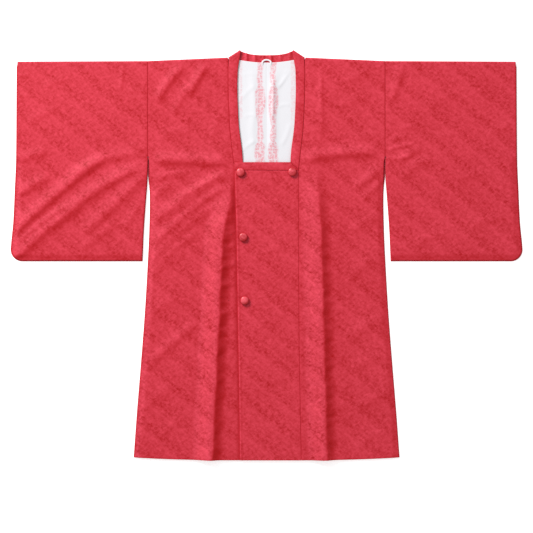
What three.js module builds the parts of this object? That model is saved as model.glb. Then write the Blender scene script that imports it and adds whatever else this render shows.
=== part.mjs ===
// A michiyuki coat laid flat on its back, buttoned, front up.
// Millimetres. +X is to the right as seen from above, which is the wearer's left; +Y runs from the hem to
// the neck and +Z up from the floor. While the pieces are made, y = 0 is the top of the sleeve, and the
// finished coat is then moved so that the origin lies under the middle of its box.
import * as THREE from "three";

// Cloth and seams
const CLOTH = 1.8; // silk with the lining behind it, as one wall
const LINING = 1.2;
const SEAM_GAP = 0.3; // between pieces that are sewn together
const FRONT_LIFT = 4; // underside of the front above the floor
const OVERLAP_LIFT = FRONT_LIFT + CLOTH + SEAM_GAP;
const SEWN_LIFT = CLOTH + SEAM_GAP; // underside of the front where it is sewn to the back
const SEAM_ROLL = 16; // width over which the front comes down to such a seam

// Body
const BODY_LENGTH = 998; // sleeve top to hem, at the centre
const HEM_LIFT = 7; // the hem rises this much towards the side seams
const HEM_HALF = 331.5;
const HEM_SIDE_Y = HEM_LIFT - BODY_LENGTH;
const ARMHOLE_OUT = 297; // centre back to sleeve seam
const NECK_OUT = 97; // where the shoulder fold meets the neckband
const NECK_RISE = 10.3; // the shoulder fold is this much higher at the neck
const ARMHOLE_RISE = 1.5;
const BACK_ARMHOLE_Y = -292; // the back is sewn to the sleeve down to here
const SIDE_SEAM_Y = -312; // front and back are sewn together below here
const SIDE_RIM = 1.5; // the back shows this much outside the front

// Neck and overlap
const NECK_DEPTH = 252; // sleeve top to the lower edge of the square neck
const TOP_STRIP = 20.5; // width of the strip along the top of the overlap
const TUCK = 4; // the right front's end of the neckband runs on this far under that strip
const BACK_NECK_DIP = 8; // the back neck seam at the centre, below the sleeve top
const BACK_NECK_CURVE = 2.2; // exponent of that seam's curve
const BAND_BACK_TOP = 14.2; // the band's free edge at the centre back
const BAND_PEAK = { out: 66.6, y: 27.7 }; // where the band's free edge turns over the shoulder
const BAND_FOOT = { out: 96.2, y: 10 }; // where its sewn edge does
const BAND_PROUD = 0.6; // the band stands above the front
const HIDDEN_EDGE = 6; // the right front's seam lies this far under the overlap
const UNDER_PANEL_OUT = 76;
const OVERLAP_RAMP = { from: 190, to: 248, level: 82, floor: 132 }; // down the neck, and outwards

// Sleeves
const SLEEVE_LENGTH = 500; // top fold to bottom seam
const SLEEVE_OUT = 626; // centre back to cuff
const CUFF_OPENING = 235;
const CUFF_EASE = 25; // length over which the cuff's edges part
const SLEEVE_CORNER = 28; // radius of the rounded outer corner
const SLEEVE_RIM = 2.5; // the back shows this much outside the front

// Lining, loop and buttons
const LINING_SIZE = { out: 91, foot: -290, top: 6.5, dip: -2.5, rise: 7, reach: 70 };
const LINING_FOLDS = [
  { x: 24, rise: 2.2, half: 16 },
  { x: -32, rise: 1.4, half: 18 },
];
const LINING_FLAT = 8; // the folds begin this far below the sleeve top and end above the neck's lower edge
const LINING_EASE = 60;
const LOOP = { half: 12.8, top: 6.2, shoulder: -3, foot: -9, band: 4, thick: 1.4 };
const LOOP_STEPS = 12;
const BUTTON_SIDES = 16;
const BUTTON_PROFILE = [
  { out: 0, up: 0 },
  { out: 3, up: 0 },
  { out: 3, up: 1.6 },
  { out: 9.8, up: 1.6 },
  { out: 10.8, up: 2.9 },
  { out: 10.3, up: 4.6 },
  { out: 8.2, up: 6.3 },
  { out: 4.5, up: 7.3 },
  { out: 0, up: 7.6 },
];
const BUTTONS = [
  { name: "button_top_right", x: -65.3, y: -277.5 },
  { name: "button_top_left", x: 64.3, y: -276.5 },
  { name: "button_middle", x: -58.5, y: -439.5 },
  { name: "button_lower", x: -54.8, y: -598 },
];

// Edges of the pieces: y, and the distance out from the centre back
const SIDE_EDGE = [
  { y: -240, out: ARMHOLE_OUT - SEAM_GAP / 2 },
  { y: -250, out: 293.8 },
  { y: -305, out: 292 },
  { y: -350, out: 291 },
  { y: -425, out: 292.5 },
  { y: -500, out: 296 },
  { y: -620, out: 303 },
  { y: -758, out: 313.5 },
  { y: -874, out: 323 },
  { y: HEM_SIDE_Y, out: HEM_HALF },
];
const SLEEVE_INNER = [
  { y: -240, out: ARMHOLE_OUT + SEAM_GAP / 2 },
  { y: -250, out: 297.5 },
  { y: -300, out: 299.6 },
  { y: -350, out: 303.5 },
  { y: -425, out: 308.8 },
  { y: -SLEEVE_LENGTH, out: 312 },
];
const SLEEVE_OUTER = [
  { y: 0, out: SLEEVE_OUT - 1.5 },
  { y: -CUFF_OPENING, out: SLEEVE_OUT },
  { y: -325, out: 629.5 },
  { y: -400, out: 633 },
  { y: -470, out: 641 },
  { y: -SLEEVE_LENGTH, out: 642 },
];
const NECK_EDGE = [
  { y: 12, seam: 95.4, free: 69.5 },
  { y: -20, seam: 95.8, free: 72 },
  { y: -65, seam: 95.5, free: 73 },
  { y: -151, seam: 92.5, free: 70 },
  { y: -NECK_DEPTH, seam: 82, free: 59.6 },
  { y: -NECK_DEPTH - TOP_STRIP, seam: 79.8, free: 59.6 },
];
// The overlap, across the front: its free left edge, and its seam with the left front
const OVERLAP_EDGE = [
  { y: -NECK_DEPTH, left: -80.5, seam: 79.6 },
  { y: -280, left: -79.4, seam: 79.8 },
  { y: -430, left: -75, seam: 80.4 },
  { y: -640, left: -71.5, seam: 81 },
  { y: -874, left: -67.8, seam: 84.6 },
  { y: -BODY_LENGTH, left: -66.5, seam: 87 },
];

// The two large folds of the fronts: where the crest runs, and how high it stands
const LARGE_FOLDS = {
  right: [
    { y: 12, crest: -135, rise: 0 },
    { y: -220, crest: -112, rise: 0 },
    { y: -275, crest: -96, rise: 0.5 },
    { y: -335, crest: -96, rise: 6 },
    { y: -407, crest: -103, rise: 10 },
    { y: -481, crest: -111, rise: 12 },
    { y: -620, crest: -117, rise: 13 },
    { y: -804, crest: -126, rise: 13.5 },
    { y: -BODY_LENGTH, crest: -135, rise: 14 },
  ],
  left: [
    { y: 12, crest: 139, rise: 0.4 },
    { y: -120, crest: 139, rise: 1.2 },
    { y: -220, crest: 132, rise: 1 },
    { y: -275, crest: 129, rise: 2.5 },
    { y: -337, crest: 132.5, rise: 7 },
    { y: -407, crest: 137.5, rise: 10 },
    { y: -545, crest: 142, rise: 12 },
    { y: -827, crest: 149, rise: 13.5 },
    { y: -BODY_LENGTH, crest: 153.5, rise: 14 },
  ],
};
// Across a large fold: width of its lit side and of its steep side, and a low tail beyond the steep side
const LARGE_FOLD_SHAPE = { lit: 58, steep: 28, tail: 85, tailShare: 0.25 };

// Creases of the fronts and sleeves: start, middle and end of the crest, its rise and its half width
const CREASES = [
  { of: "sleeve drag", x0: -632, y0: -431, x1: -520, y1: -300, x2: -316, y2: -234, rise: 4.6, half: 19 },
  { of: "sleeve drag", x0: -606, y0: -464, x1: -455, y1: -330, x2: -306, y2: -248, rise: 4.6, half: 19 },
  { of: "sleeve drag", x0: -446, y0: -392, x1: -370, y1: -330, x2: -302, y2: -279, rise: 3, half: 18 },
  { of: "cuff", x0: -628, y0: -341, x1: -590, y1: -312, x2: -548, y2: -290, rise: 2.6, half: 17 },
  { of: "cuff", x0: -626, y0: -256, x1: -594, y1: -240, x2: -556, y2: -228, rise: 2, half: 17 },
  { of: "right chest", x0: -292, y0: -247, x1: -190, y1: -249, x2: -88, y2: -257, rise: 3.4, half: 16 },
  { of: "button drag", x0: -92, y0: -286, x1: -172, y1: -322, x2: -288, y2: -388, rise: 3.4, half: 16 },
  { of: "button drag", x0: -96, y0: -322, x1: -190, y1: -370, x2: -282, y2: -436, rise: 3.2, half: 16 },
  { of: "button drag", x0: -112, y0: -364, x1: -205, y1: -405, x2: -288, y2: -474, rise: 2, half: 17 },
  { of: "right shoulder", x0: -204, y0: -12, x1: -244, y1: -52, x2: -276, y2: -108, rise: 2.4, half: 15 },
  { of: "right shoulder", x0: -150, y0: -8, x1: -172, y1: -44, x2: -202, y2: -96, rise: 2.4, half: 15 },
  { of: "left chest", x0: 84, y0: -250, x1: 180, y1: -232, x2: 288, y2: -230, rise: 3.2, half: 16 },
  { of: "left shoulder", x0: 342, y0: -6, x1: 328, y1: -52, x2: 312, y2: -108, rise: 2, half: 15 },
  { of: "left underarm", x0: 286, y0: -262, x1: 256, y1: -292, x2: 216, y2: -318, rise: 1.8, half: 17 },
  { of: "right skirt", x0: -166, y0: -648, x1: -236, y1: -706, x2: -306, y2: -770, rise: 2, half: 17 },
  { of: "left skirt", x0: 196, y0: -560, x1: 246, y1: -610, x2: 296, y2: -650, rise: 1.6, half: 20 },
];
const CREASE_STEPS = 8; // chords that stand for a crease's curve
const CREASE_FADE = 0.22; // share of its length over which a crease fades at each end

// Where the grid lines of the walls run: y of each row, and share of the way across of each column
const BODY_BACK_ROWS = [HEM_SIDE_Y, -874, -758, -620, -500, -400, -312, -292, -150, -40];
const BACK_NECK_ROWS = [-8.4, -8, -7, -5, -2, 2, 5];
const BODY_FRONT_ROWS = [
  -18, -45, -100, -128, -184, -207, -228, -243, -250, -266, -282, -298, -314, -332, -350, -370, -392, -416,
  -442, -475, -520, -570, -625, -680, -735, -800, -870, -940,
];
const NECK_STOPS = [-65, -151, -NECK_DEPTH - TUCK, -NECK_DEPTH - TUCK - 1]; // rows that meet the neck's corners
const SIDE_TO_CREST = [0, 0.05, 0.16, 0.31, 0.46, 0.61, 0.74, 0.86, 0.94, 1];
const CREST_TO_SEAM = [0.2, 0.4, 0.62, 0.82, 1];
const SLEEVE_COLUMNS = [0, 0.03, 0.11, 0.2, 0.3, 0.4, 0.5, 0.6, 0.7, 0.8, 0.89, 0.97, 1];
const SLEEVE_BACK_ROWS = [-440, -340, -292, -235, -60];
const SLEEVE_FRONT_ROWS = [
  -25, -60, -100, -142, -180, -210, -235, -252, -272, -292, -312, -332, -352, -374, -396, -420, -444,
];
const CORNER_TURNS = [0, 0.3, 0.58, 0.8, 1]; // shares of the quarter turn at the sleeve's corner
const FOLD_TURNS = [-1, -0.5, 0, 0.5, 1]; // shares of the quarter turn at a shoulder fold
const PANEL_ROWS = [-300, -340, -390, -450, -520, -600, -690, -790, -880, -950];
const PANEL_COLUMNS = 6;
const BAND_FRONT_ROWS = [-236, -216, -190, -151, -108, -65, -20];
const BAND_BACK_SHARES = [0.86, 0.68, 0.5, 0.32, 0.15, 0]; // of the way out from the centre back
const LINING_ROWS = [0, 0.03, 0.1, 0.2, 0.32, 0.44, 0.56, 0.68, 0.8, 0.9, 1];

const SILK = { color: 0xd23c48, roughness: 0.62, metalness: 0 };
const WHITE_SILK = { color: 0xf3f1f6, roughness: 0.7, metalness: 0 };

const mix = (a, b, t) => a + (b - a) * t;
const point = (x, y, z) => new THREE.Vector3(x, y, z);
const quarter = (share) => (share * Math.PI) / 2;

// A smooth step from 0 at a to 1 at b.
function ease(a, b, v) {
  const t = Math.min(1, Math.max(0, (v - a) / (b - a)));
  return t * t * (3 - 2 * t);
}

// A column of a table at a given y, straight between its rows, which run from the top down.
function at(table, column, y) {
  if (y >= table[0].y) return table[0][column];
  for (let i = 1; i < table.length; i++) {
    const above = table[i - 1];
    const below = table[i];
    if (y >= below.y) return mix(above[column], below[column], (above.y - y) / (above.y - below.y));
  }
  return table[table.length - 1][column];
}

// The shoulder fold: highest at the neck, then sloping to the sleeve, and nearly level from there.
function foldY(x) {
  const out = Math.abs(x);
  if (out > ARMHOLE_OUT) return ARMHOLE_RISE * (1 - (out - ARMHOLE_OUT) / (SLEEVE_OUT - ARMHOLE_OUT));
  return mix(NECK_RISE, ARMHOLE_RISE, Math.max(0, (out - NECK_OUT) / (ARMHOLE_OUT - NECK_OUT)));
}

// Where the flat cloth ends and the turn of the fold begins.
const flatEndY = (x) => foldY(x) - (FRONT_LIFT + CLOTH) / 2;
const hemY = (x) => HEM_LIFT * (Math.abs(x) / HEM_HALF) ** 3 - BODY_LENGTH;

// A body row's share of the way down, from the y that it has at the side edge or at the neck.
const shareAtSide = (y) => (ARMHOLE_RISE - y) / (ARMHOLE_RISE - HEM_SIDE_Y);
const shareAtNeck = (y) => (NECK_RISE - y) / (NECK_RISE + BODY_LENGTH);
const sideYAt = (share) => mix(ARMHOLE_RISE, HEM_SIDE_Y, share);
const neckYAt = (share) => mix(NECK_RISE, -BODY_LENGTH, share);
const bodyPlace = (side, out, share) => [side * out, mix(foldY(out), hemY(out), share)];

// Height of one large fold over the front: a rounded crest, gentle on the lit side and steep on the other.
function largeFold(table, x, y) {
  const away = x - at(table, "crest", y);
  const { lit, steep, tail, tailShare } = LARGE_FOLD_SHAPE;
  const rise = at(table, "rise", y);
  if (away < 0) return rise * (1 - ease(0, lit, -away));
  return rise * (1 - mix(ease(0, steep, away), ease(0, tail, away), tailShare));
}

// A crease's crest as a few chords along the quadratic curve through its three named points.
function creaseLine({ x0, y0, x1, y1, x2, y2 }) {
  const bend = new THREE.Vector2(2 * x1 - (x0 + x2) / 2, 2 * y1 - (y0 + y2) / 2);
  const curve = new THREE.QuadraticBezierCurve(new THREE.Vector2(x0, y0), bend, new THREE.Vector2(x2, y2));
  return curve.getPoints(CREASE_STEPS);
}
const creases = CREASES.map((crease) => ({ ...crease, line: creaseLine(crease) }));

// Height of the creases: a bell across each crest, which fades at both ends.
function creaseHeight(x, y) {
  let height = 0;
  for (const { line, rise, half } of creases) {
    let nearest = Infinity;
    let along = 0;
    for (let i = 0; i < CREASE_STEPS; i++) {
      const start = line[i];
      const chord = line[i + 1].clone().sub(start);
      const t = ((x - start.x) * chord.x + (y - start.y) * chord.y) / chord.lengthSq();
      const onChord = Math.min(1, Math.max(0, t));
      const gap = Math.hypot(x - start.x - onChord * chord.x, y - start.y - onChord * chord.y);
      if (gap < nearest) {
        nearest = gap;
        along = (i + onChord) / CREASE_STEPS;
      }
    }
    const fade = ease(0, CREASE_FADE, along) * ease(0, CREASE_FADE, 1 - along);
    height += rise * fade * Math.exp(-((nearest / half) ** 2));
  }
  return height;
}

// The left front rises onto the overlap's level beside its seam, from just above the neck's lower edge.
function overlapRise(x, y) {
  if (x < 0) return 0;
  const { from, to, level, floor } = OVERLAP_RAMP;
  return (OVERLAP_LIFT - FRONT_LIFT) * ease(from, to, -y) * (1 - ease(level, floor, x));
}

// Underside of the body's front. It comes down onto the back at the side seam, and is flat under the overlap.
function bodyFrontUnder(x, y) {
  const inside = at(SIDE_EDGE, "out", y) - Math.abs(x);
  const sewn = ease(BACK_ARMHOLE_Y, SIDE_SEAM_Y, y);
  const rest = mix(FRONT_LIFT, SEWN_LIFT, sewn * (1 - ease(0, SEAM_ROLL, inside)));
  const loose = mix(1, ease(0, SEAM_ROLL, inside), sewn);
  const covered = x < 0 && y < -NECK_DEPTH;
  const free = covered ? ease(0, 2 * HIDDEN_EDGE, at(OVERLAP_EDGE, "left", y) - x) : 1;
  const fold = largeFold(x < 0 ? LARGE_FOLDS.right : LARGE_FOLDS.left, x, y);
  return rest + overlapRise(x, y) + (fold + creaseHeight(x, y)) * loose * free;
}

// How far out the sleeve reaches, with its rounded corner. rim is 0 on the front and SLEEVE_RIM on the back.
function sleeveOuter(y, rim) {
  const radius = SLEEVE_CORNER + rim;
  const centreY = SLEEVE_RIM - rim - SLEEVE_LENGTH + radius;
  const below = Math.min(radius, Math.max(0, centreY - y));
  return at(SLEEVE_OUTER, "out", y) - SLEEVE_RIM + rim - radius + Math.sqrt(radius ** 2 - below ** 2);
}

// Underside of the sleeve's front. It comes down at the bottom seam, and at the outer seam below the cuff.
function sleeveFrontUnder(x, y) {
  const fromOuter = at(SLEEVE_OUTER, "out", y) - SLEEVE_RIM - Math.abs(x);
  const fromFoot = y + SLEEVE_LENGTH - SLEEVE_RIM;
  const closed = ease(CUFF_OPENING, CUFF_OPENING + CUFF_EASE, -y);
  const sewn = Math.max(closed * (1 - ease(0, SEAM_ROLL, fromOuter)), 1 - ease(0, SEAM_ROLL, fromFoot));
  return mix(FRONT_LIFT, SEWN_LIFT, sewn) + creaseHeight(x, y) * (1 - sewn);
}

function named(name, geometry, finish) {
  geometry.computeVertexNormals();
  const mesh = new THREE.Mesh(geometry, new THREE.MeshStandardMaterial(finish));
  mesh.name = name;
  return mesh;
}

// A closed wall from two grids of points, its inner and its outer face, with its four edges.
function wall(name, inner, outer, finish) {
  const rows = inner.length;
  const columns = inner[0].length;
  const points = [...inner.flat(), ...outer.flat()];
  const triangles = [];
  const id = (face, row, column) => (face * rows + row) * columns + column;
  const quad = (a, b, c, d) => triangles.push(a, b, c, a, c, d);
  for (let r = 0; r + 1 < rows; r++) {
    for (let c = 0; c + 1 < columns; c++) {
      quad(id(1, r, c), id(1, r, c + 1), id(1, r + 1, c + 1), id(1, r + 1, c));
      quad(id(0, r, c), id(0, r + 1, c), id(0, r + 1, c + 1), id(0, r, c + 1));
    }
    const last = columns - 1;
    quad(id(0, r, 0), id(1, r, 0), id(1, r + 1, 0), id(0, r + 1, 0));
    quad(id(1, r, last), id(0, r, last), id(0, r + 1, last), id(1, r + 1, last));
  }
  for (let c = 0; c + 1 < columns; c++) {
    const last = rows - 1;
    quad(id(1, 0, c), id(0, 0, c), id(0, 0, c + 1), id(1, 0, c + 1));
    quad(id(0, last, c), id(1, last, c), id(1, last, c + 1), id(0, last, c + 1));
  }
  let volume = 0;
  for (let i = 0; i < triangles.length; i += 3) {
    const [a, b, c] = triangles.slice(i, i + 3).map((n) => points[n]);
    volume += a.dot(b.clone().cross(c));
  }
  if (volume < 0) triangles.reverse();
  return named(name, new THREE.BufferGeometry().setFromPoints(points).setIndex(triangles), finish);
}

// A wall that lies flat, over rows of places [x, y], from its underside and its thickness.
function layer(name, places, under, thickness, finish) {
  const inner = places.map((row) => row.map(([x, y]) => point(x, y, under(x, y))));
  const outer = inner.map((row) => row.map((p) => point(p.x, p.y, p.z + thickness)));
  return wall(name, inner, outer, finish);
}

// A length of cloth that lies on the floor, turns over at the shoulder and comes back on top.
// back and front are rows of places [x, y], and the first front row lies above the last back row.
function folded(name, back, front, frontUnder) {
  const inner = back.map((row) => row.map(([x, y]) => point(x, y, CLOTH)));
  const outer = back.map((row) => row.map(([x, y]) => point(x, y, 0)));
  for (const share of FOLD_TURNS) {
    const angle = quarter(share);
    const ring = (extra) =>
      front[0].map(([x]) => {
        const under = frontUnder(x, foldY(x));
        const radius = (under - CLOTH) / 2 + extra;
        const y = foldY(x) - (under + CLOTH) / 2 + radius * Math.cos(angle);
        return point(x, y, (under + CLOTH) / 2 + radius * Math.sin(angle));
      });
    inner.push(ring(0));
    outer.push(ring(CLOTH));
  }
  for (const row of front.slice(1)) {
    inner.push(row.map(([x, y]) => point(x, y, frontUnder(x, y))));
    outer.push(row.map(([x, y]) => point(x, y, frontUnder(x, y) + CLOTH)));
  }
  return wall(name, inner, outer, SILK);
}

// Inner edge of a front: along the neckband, then along the seam with its overlap panel.
function frontInner(side, y) {
  const neckEnd = side < 0 ? NECK_DEPTH + TUCK + SEAM_GAP : NECK_DEPTH + TOP_STRIP;
  if (y > -neckEnd) return at(NECK_EDGE, "seam", y) + SEAM_GAP;
  return side < 0 ? -at(OVERLAP_EDGE, "left", y) - HIDDEN_EDGE : at(OVERLAP_EDGE, "seam", y) + SEAM_GAP;
}

// Inner edge of a back: the centre seam, then the curved neck seam.
function backInner(y) {
  const low = -BACK_NECK_DIP - SEAM_GAP;
  const share = Math.max(0, (y - low) / (flatEndY(NECK_OUT) - low));
  return Math.max(SEAM_GAP / 2, NECK_OUT * share ** (1 / BACK_NECK_CURVE));
}

function backSide(y) {
  const seam = at(SIDE_EDGE, "out", y) + SIDE_RIM;
  return mix(ARMHOLE_OUT - SEAM_GAP / 2, seam, ease(BACK_ARMHOLE_Y, SIDE_SEAM_Y, y));
}

// One half of the body, a length of cloth from the back hem to the front hem. side is -1 for the right.
function body(name, side) {
  const large = side < 0 ? LARGE_FOLDS.right : LARGE_FOLDS.left;
  const frontRow = (share) => {
    const edge = at(SIDE_EDGE, "out", sideYAt(share));
    const crest = side * at(large, "crest", neckYAt(share));
    const seam = share === 0 ? NECK_OUT : frontInner(side, neckYAt(share));
    const outs = [
      ...SIDE_TO_CREST.map((t) => mix(edge, crest, t)),
      ...CREST_TO_SEAM.map((t) => mix(crest, seam, t)),
    ];
    return outs.map((out) => bodyPlace(side, out, share));
  };
  const stops = [...BODY_FRONT_ROWS.map(shareAtSide), ...NECK_STOPS.map(shareAtNeck)].sort((a, b) => a - b);
  const front = [0, ...stops, 1].map(frontRow);
  const edge = Math.abs(front[0][0][0]);
  const across = front[0].map(([x]) => (Math.abs(x) - edge) / (NECK_OUT - edge));
  const backRow = (share) => {
    const from = backSide(sideYAt(share));
    const to = backInner(neckYAt(share));
    return across.map((t) => bodyPlace(side, mix(from, to, t), share));
  };
  const backShares = [...BODY_BACK_ROWS.map(shareAtSide), ...BACK_NECK_ROWS.map(shareAtNeck)];
  return folded(name, backShares.map(backRow), front, bodyFrontUnder);
}

// A sleeve, one length of cloth folded at the top and sewn at the bottom and below the cuff.
function sleeve(name, side) {
  const row = (y, rim, inner) =>
    SLEEVE_COLUMNS.map((t) => {
      const x = side * mix(inner, sleeveOuter(y, rim), t);
      return [x, y + foldY(x) * (1 + y / SLEEVE_LENGTH)];
    });
  const corner = (rim) => {
    const foot = SLEEVE_RIM - rim - SLEEVE_LENGTH;
    return CORNER_TURNS.map((t) => foot + (SLEEVE_CORNER + rim) * (1 - Math.sin(quarter(t))));
  };
  const inner = (y) => at(SLEEVE_INNER, "out", y);
  const backEdge = (y) => (y > BACK_ARMHOLE_Y ? ARMHOLE_OUT + SEAM_GAP / 2 : inner(y) - SIDE_RIM);
  const backRows = [...corner(SLEEVE_RIM).reverse(), ...SLEEVE_BACK_ROWS];
  const frontRows = [0, ...SLEEVE_FRONT_ROWS, ...corner(0)];
  const back = backRows.map((y) => row(y, SLEEVE_RIM, backEdge(y)));
  const front = frontRows.map((y) => row(y, 0, inner(y)));
  return folded(name, back, front, sleeveFrontUnder);
}

// One station along the neckband: three points across each face, from the inner face's two edges.
function bandStation(sewn, free, outward) {
  const inner = [sewn, sewn.clone().lerp(free, 0.5), free];
  return { inner, outer: inner.map((p) => p.clone().add(outward)) };
}

// The neckband down one front. The right end runs on under the top strip, and the left end is mitred to it.
function bandFront(side) {
  const rise = (y) => {
    const tucked = side < 0 ? ease(NECK_DEPTH - TOP_STRIP, NECK_DEPTH - TUCK, -y) : 0;
    return FRONT_LIFT + overlapRise(side * OVERLAP_RAMP.level, y) + BAND_PROUD * (1 - tucked);
  };
  const ends = side < 0 ? [-NECK_DEPTH - TUCK, -NECK_DEPTH + TUCK / 2] : [-NECK_DEPTH];
  return [...ends, ...BAND_FRONT_ROWS].map((y) => {
    const sewnY = side > 0 && y === -NECK_DEPTH ? y - TOP_STRIP : y;
    const sewn = point(side * at(NECK_EDGE, "seam", sewnY), sewnY, rise(sewnY));
    const free = point(side * at(NECK_EDGE, "free", y), y, rise(y));
    return bandStation(sewn, free, point(0, 0, CLOTH));
  });
}

// The shoulder turn of the neckband is a half tube, whose axis runs from foot to peak.
const BAND_TURN_RADIUS = (FRONT_LIFT + BAND_PROUD + CLOTH) / 2;
const bandTurnOut = new THREE.Vector2(BAND_PEAK.y - BAND_FOOT.y, BAND_FOOT.out - BAND_PEAK.out).normalize();
const bandAxis = ({ out, y }) => new THREE.Vector2(out, y).addScaledVector(bandTurnOut, -BAND_TURN_RADIUS);

function bandTurn(side) {
  return FOLD_TURNS.map((share) => {
    const angle = quarter(share);
    const flat = Math.cos(angle);
    const outward = point(side * bandTurnOut.x * flat, bandTurnOut.y * flat, Math.sin(angle));
    const inner = (place) => {
      const axis = bandAxis(place);
      return point(side * axis.x, axis.y, BAND_TURN_RADIUS).addScaledVector(outward, BAND_TURN_RADIUS - CLOTH);
    };
    return bandStation(inner(BAND_FOOT), inner(BAND_PEAK), outward.clone().multiplyScalar(CLOTH));
  });
}

// The neckband along one half of the back neck, from the shoulder to the centre.
function bandBack(side) {
  const foot = bandAxis(BAND_FOOT);
  const peak = bandAxis(BAND_PEAK);
  return BAND_BACK_SHARES.map((share) => {
    const sewnX = foot.x * share;
    const seam = (flatEndY(NECK_OUT) + BACK_NECK_DIP) * (sewnX / NECK_OUT) ** BACK_NECK_CURVE - BACK_NECK_DIP;
    const sewn = point(side * sewnX, seam + SEAM_GAP, CLOTH);
    const free = point(side * peak.x * share, mix(BAND_BACK_TOP, peak.y, share ** 3), CLOTH);
    return bandStation(sewn, free, point(0, 0, -CLOTH));
  });
}

// The strip around the neck: up the right front, over the shoulder, along the back and down the left front.
function neckband(name) {
  const stations = [
    ...bandFront(-1),
    ...bandTurn(-1).reverse(),
    ...bandBack(-1),
    ...bandBack(1).reverse().slice(1),
    ...bandTurn(1),
    ...bandFront(1).reverse(),
  ];
  const inner = stations.map((station) => station.inner);
  const outer = stations.map((station) => station.outer);
  return wall(name, inner, outer, SILK);
}

// Rows of evenly spaced places between two edges, which are functions of y.
function panelPlaces(ys, left, right) {
  const columns = Array.from({ length: PANEL_COLUMNS + 1 }, (_, i) => i / PANEL_COLUMNS);
  return ys.map((y) => columns.map((t) => [mix(left(y), right(y), t), y]));
}

// The left front's overlap panel, on top, and the right front's panel under it.
function frontPanels() {
  const left = (y) => at(OVERLAP_EDGE, "left", y);
  const overTop = -NECK_DEPTH - TOP_STRIP - SEAM_GAP;
  const over = panelPlaces([overTop, ...PANEL_ROWS, -BODY_LENGTH], left, (y) => at(OVERLAP_EDGE, "seam", y));
  const underTop = -NECK_DEPTH - TUCK - 2 * SEAM_GAP;
  const inner = (y) => left(y) + HIDDEN_EDGE + SEAM_GAP;
  const under = panelPlaces([underTop, ...PANEL_ROWS, -BODY_LENGTH], inner, () => UNDER_PANEL_OUT);
  return [
    layer("front_panel_left", over, () => OVERLAP_LIFT, CLOTH, SILK),
    layer("front_panel_right", under, () => FRONT_LIFT, CLOTH, SILK),
  ];
}

// The strip along the top of the overlap, mitred to the neckband at its right end as seen from above.
function topStrip(name) {
  const free = at(NECK_EDGE, "free", -NECK_DEPTH) - 2 * SEAM_GAP;
  const sewn = at(NECK_EDGE, "seam", -NECK_DEPTH - TOP_STRIP) - 2 * SEAM_GAP;
  const left = at(OVERLAP_EDGE, "left", -NECK_DEPTH);
  const top = -NECK_DEPTH - SEAM_GAP;
  const foot = -NECK_DEPTH - TOP_STRIP;
  const right = (y) => mix(free, sewn, (top - y) / (top - foot));
  const places = panelPlaces([top, (top + foot) / 2, foot], () => left, right);
  return layer(name, places, () => OVERLAP_LIFT + BAND_PROUD, CLOTH, SILK);
}

// Half of the back lining, as far as the neck shows it and a little under the fronts, with a soft fold.
function liningHalf(name, side) {
  const { out, foot, top, dip, rise, reach } = LINING_SIZE;
  const topY = (x) => Math.min(top, dip + rise * (x / reach) ** 2);
  const across = Array.from({ length: PANEL_COLUMNS + 1 }, (_, i) => i / PANEL_COLUMNS);
  const outs = across.map((share) => mix(SEAM_GAP / 2, out, share));
  const places = LINING_ROWS.map((t) => outs.map((x) => [side * x, mix(topY(x), foot, t)]));
  const under = (x, y) => {
    const below = ease(LINING_FLAT, LINING_EASE, -y);
    const above = ease(LINING_FLAT, LINING_EASE, y + NECK_DEPTH);
    const heights = LINING_FOLDS.map((fold) => fold.rise * Math.exp(-(((x - fold.x) / fold.half) ** 2)));
    return SEWN_LIFT + below * above * heights.reduce((sum, height) => sum + height);
  };
  return layer(name, places, under, LINING, WHITE_SILK);
}

// The hanging loop: a flat tape that arches over the lining's top edge.
function hangingLoop(name) {
  const { half, top, shoulder, foot, band, thick } = LOOP;
  const arch = (inset, angle) => {
    const y = shoulder + (top - shoulder - inset) * Math.sin(angle);
    return [(half - inset) * Math.cos(angle), y];
  };
  const turns = Array.from({ length: LOOP_STEPS + 1 }, (_, i) => (i * Math.PI) / LOOP_STEPS);
  const leg = (side) => [half, half - band].map((x) => [side * x, foot]);
  const places = [leg(1), ...turns.map((angle) => [arch(0, angle), arch(band, angle)]), leg(-1)];
  return layer(name, places, () => SEWN_LIFT + LINING + SEAM_GAP, thick, WHITE_SILK);
}

// A cloth-covered button: a domed cap on a short shank.
function button({ name, x, y }) {
  const profile = BUTTON_PROFILE.map(({ out, up }) => new THREE.Vector2(out, up));
  const mesh = named(name, new THREE.LatheGeometry(profile, BUTTON_SIDES).rotateX(Math.PI / 2), SILK);
  mesh.position.set(x, y, OVERLAP_LIFT + CLOTH + SEAM_GAP);
  return mesh;
}

const coat = new THREE.Group();
coat.add(
  body("body_right", -1),
  body("body_left", 1),
  sleeve("sleeve_right", -1),
  sleeve("sleeve_left", 1),
  ...frontPanels(),
  neckband("neckband"),
  topStrip("neckband_front"),
  liningHalf("lining_right", -1),
  liningHalf("lining_left", 1),
  hangingLoop("hanging_loop"),
  ...BUTTONS.map(button),
);
coat.position.y = (BODY_LENGTH - BAND_PEAK.y) / 2;

export default coat;
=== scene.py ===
"""A michiyuki coat of red figured silk, laid flat on its back and buttoned, on a pale floor.

Sizes are in millimetres, in the same design frame as the solids: +X to the right as seen from above, +Y
from the hem to the neck with y = 0 at the top of the sleeve, +Z up from the floor. Meshes are put into the
frame in metres.
"""
import logging
from dataclasses import dataclass
from enum import Enum
from functools import partial
from typing import Callable, Mapping, NamedTuple, Sequence

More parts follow.
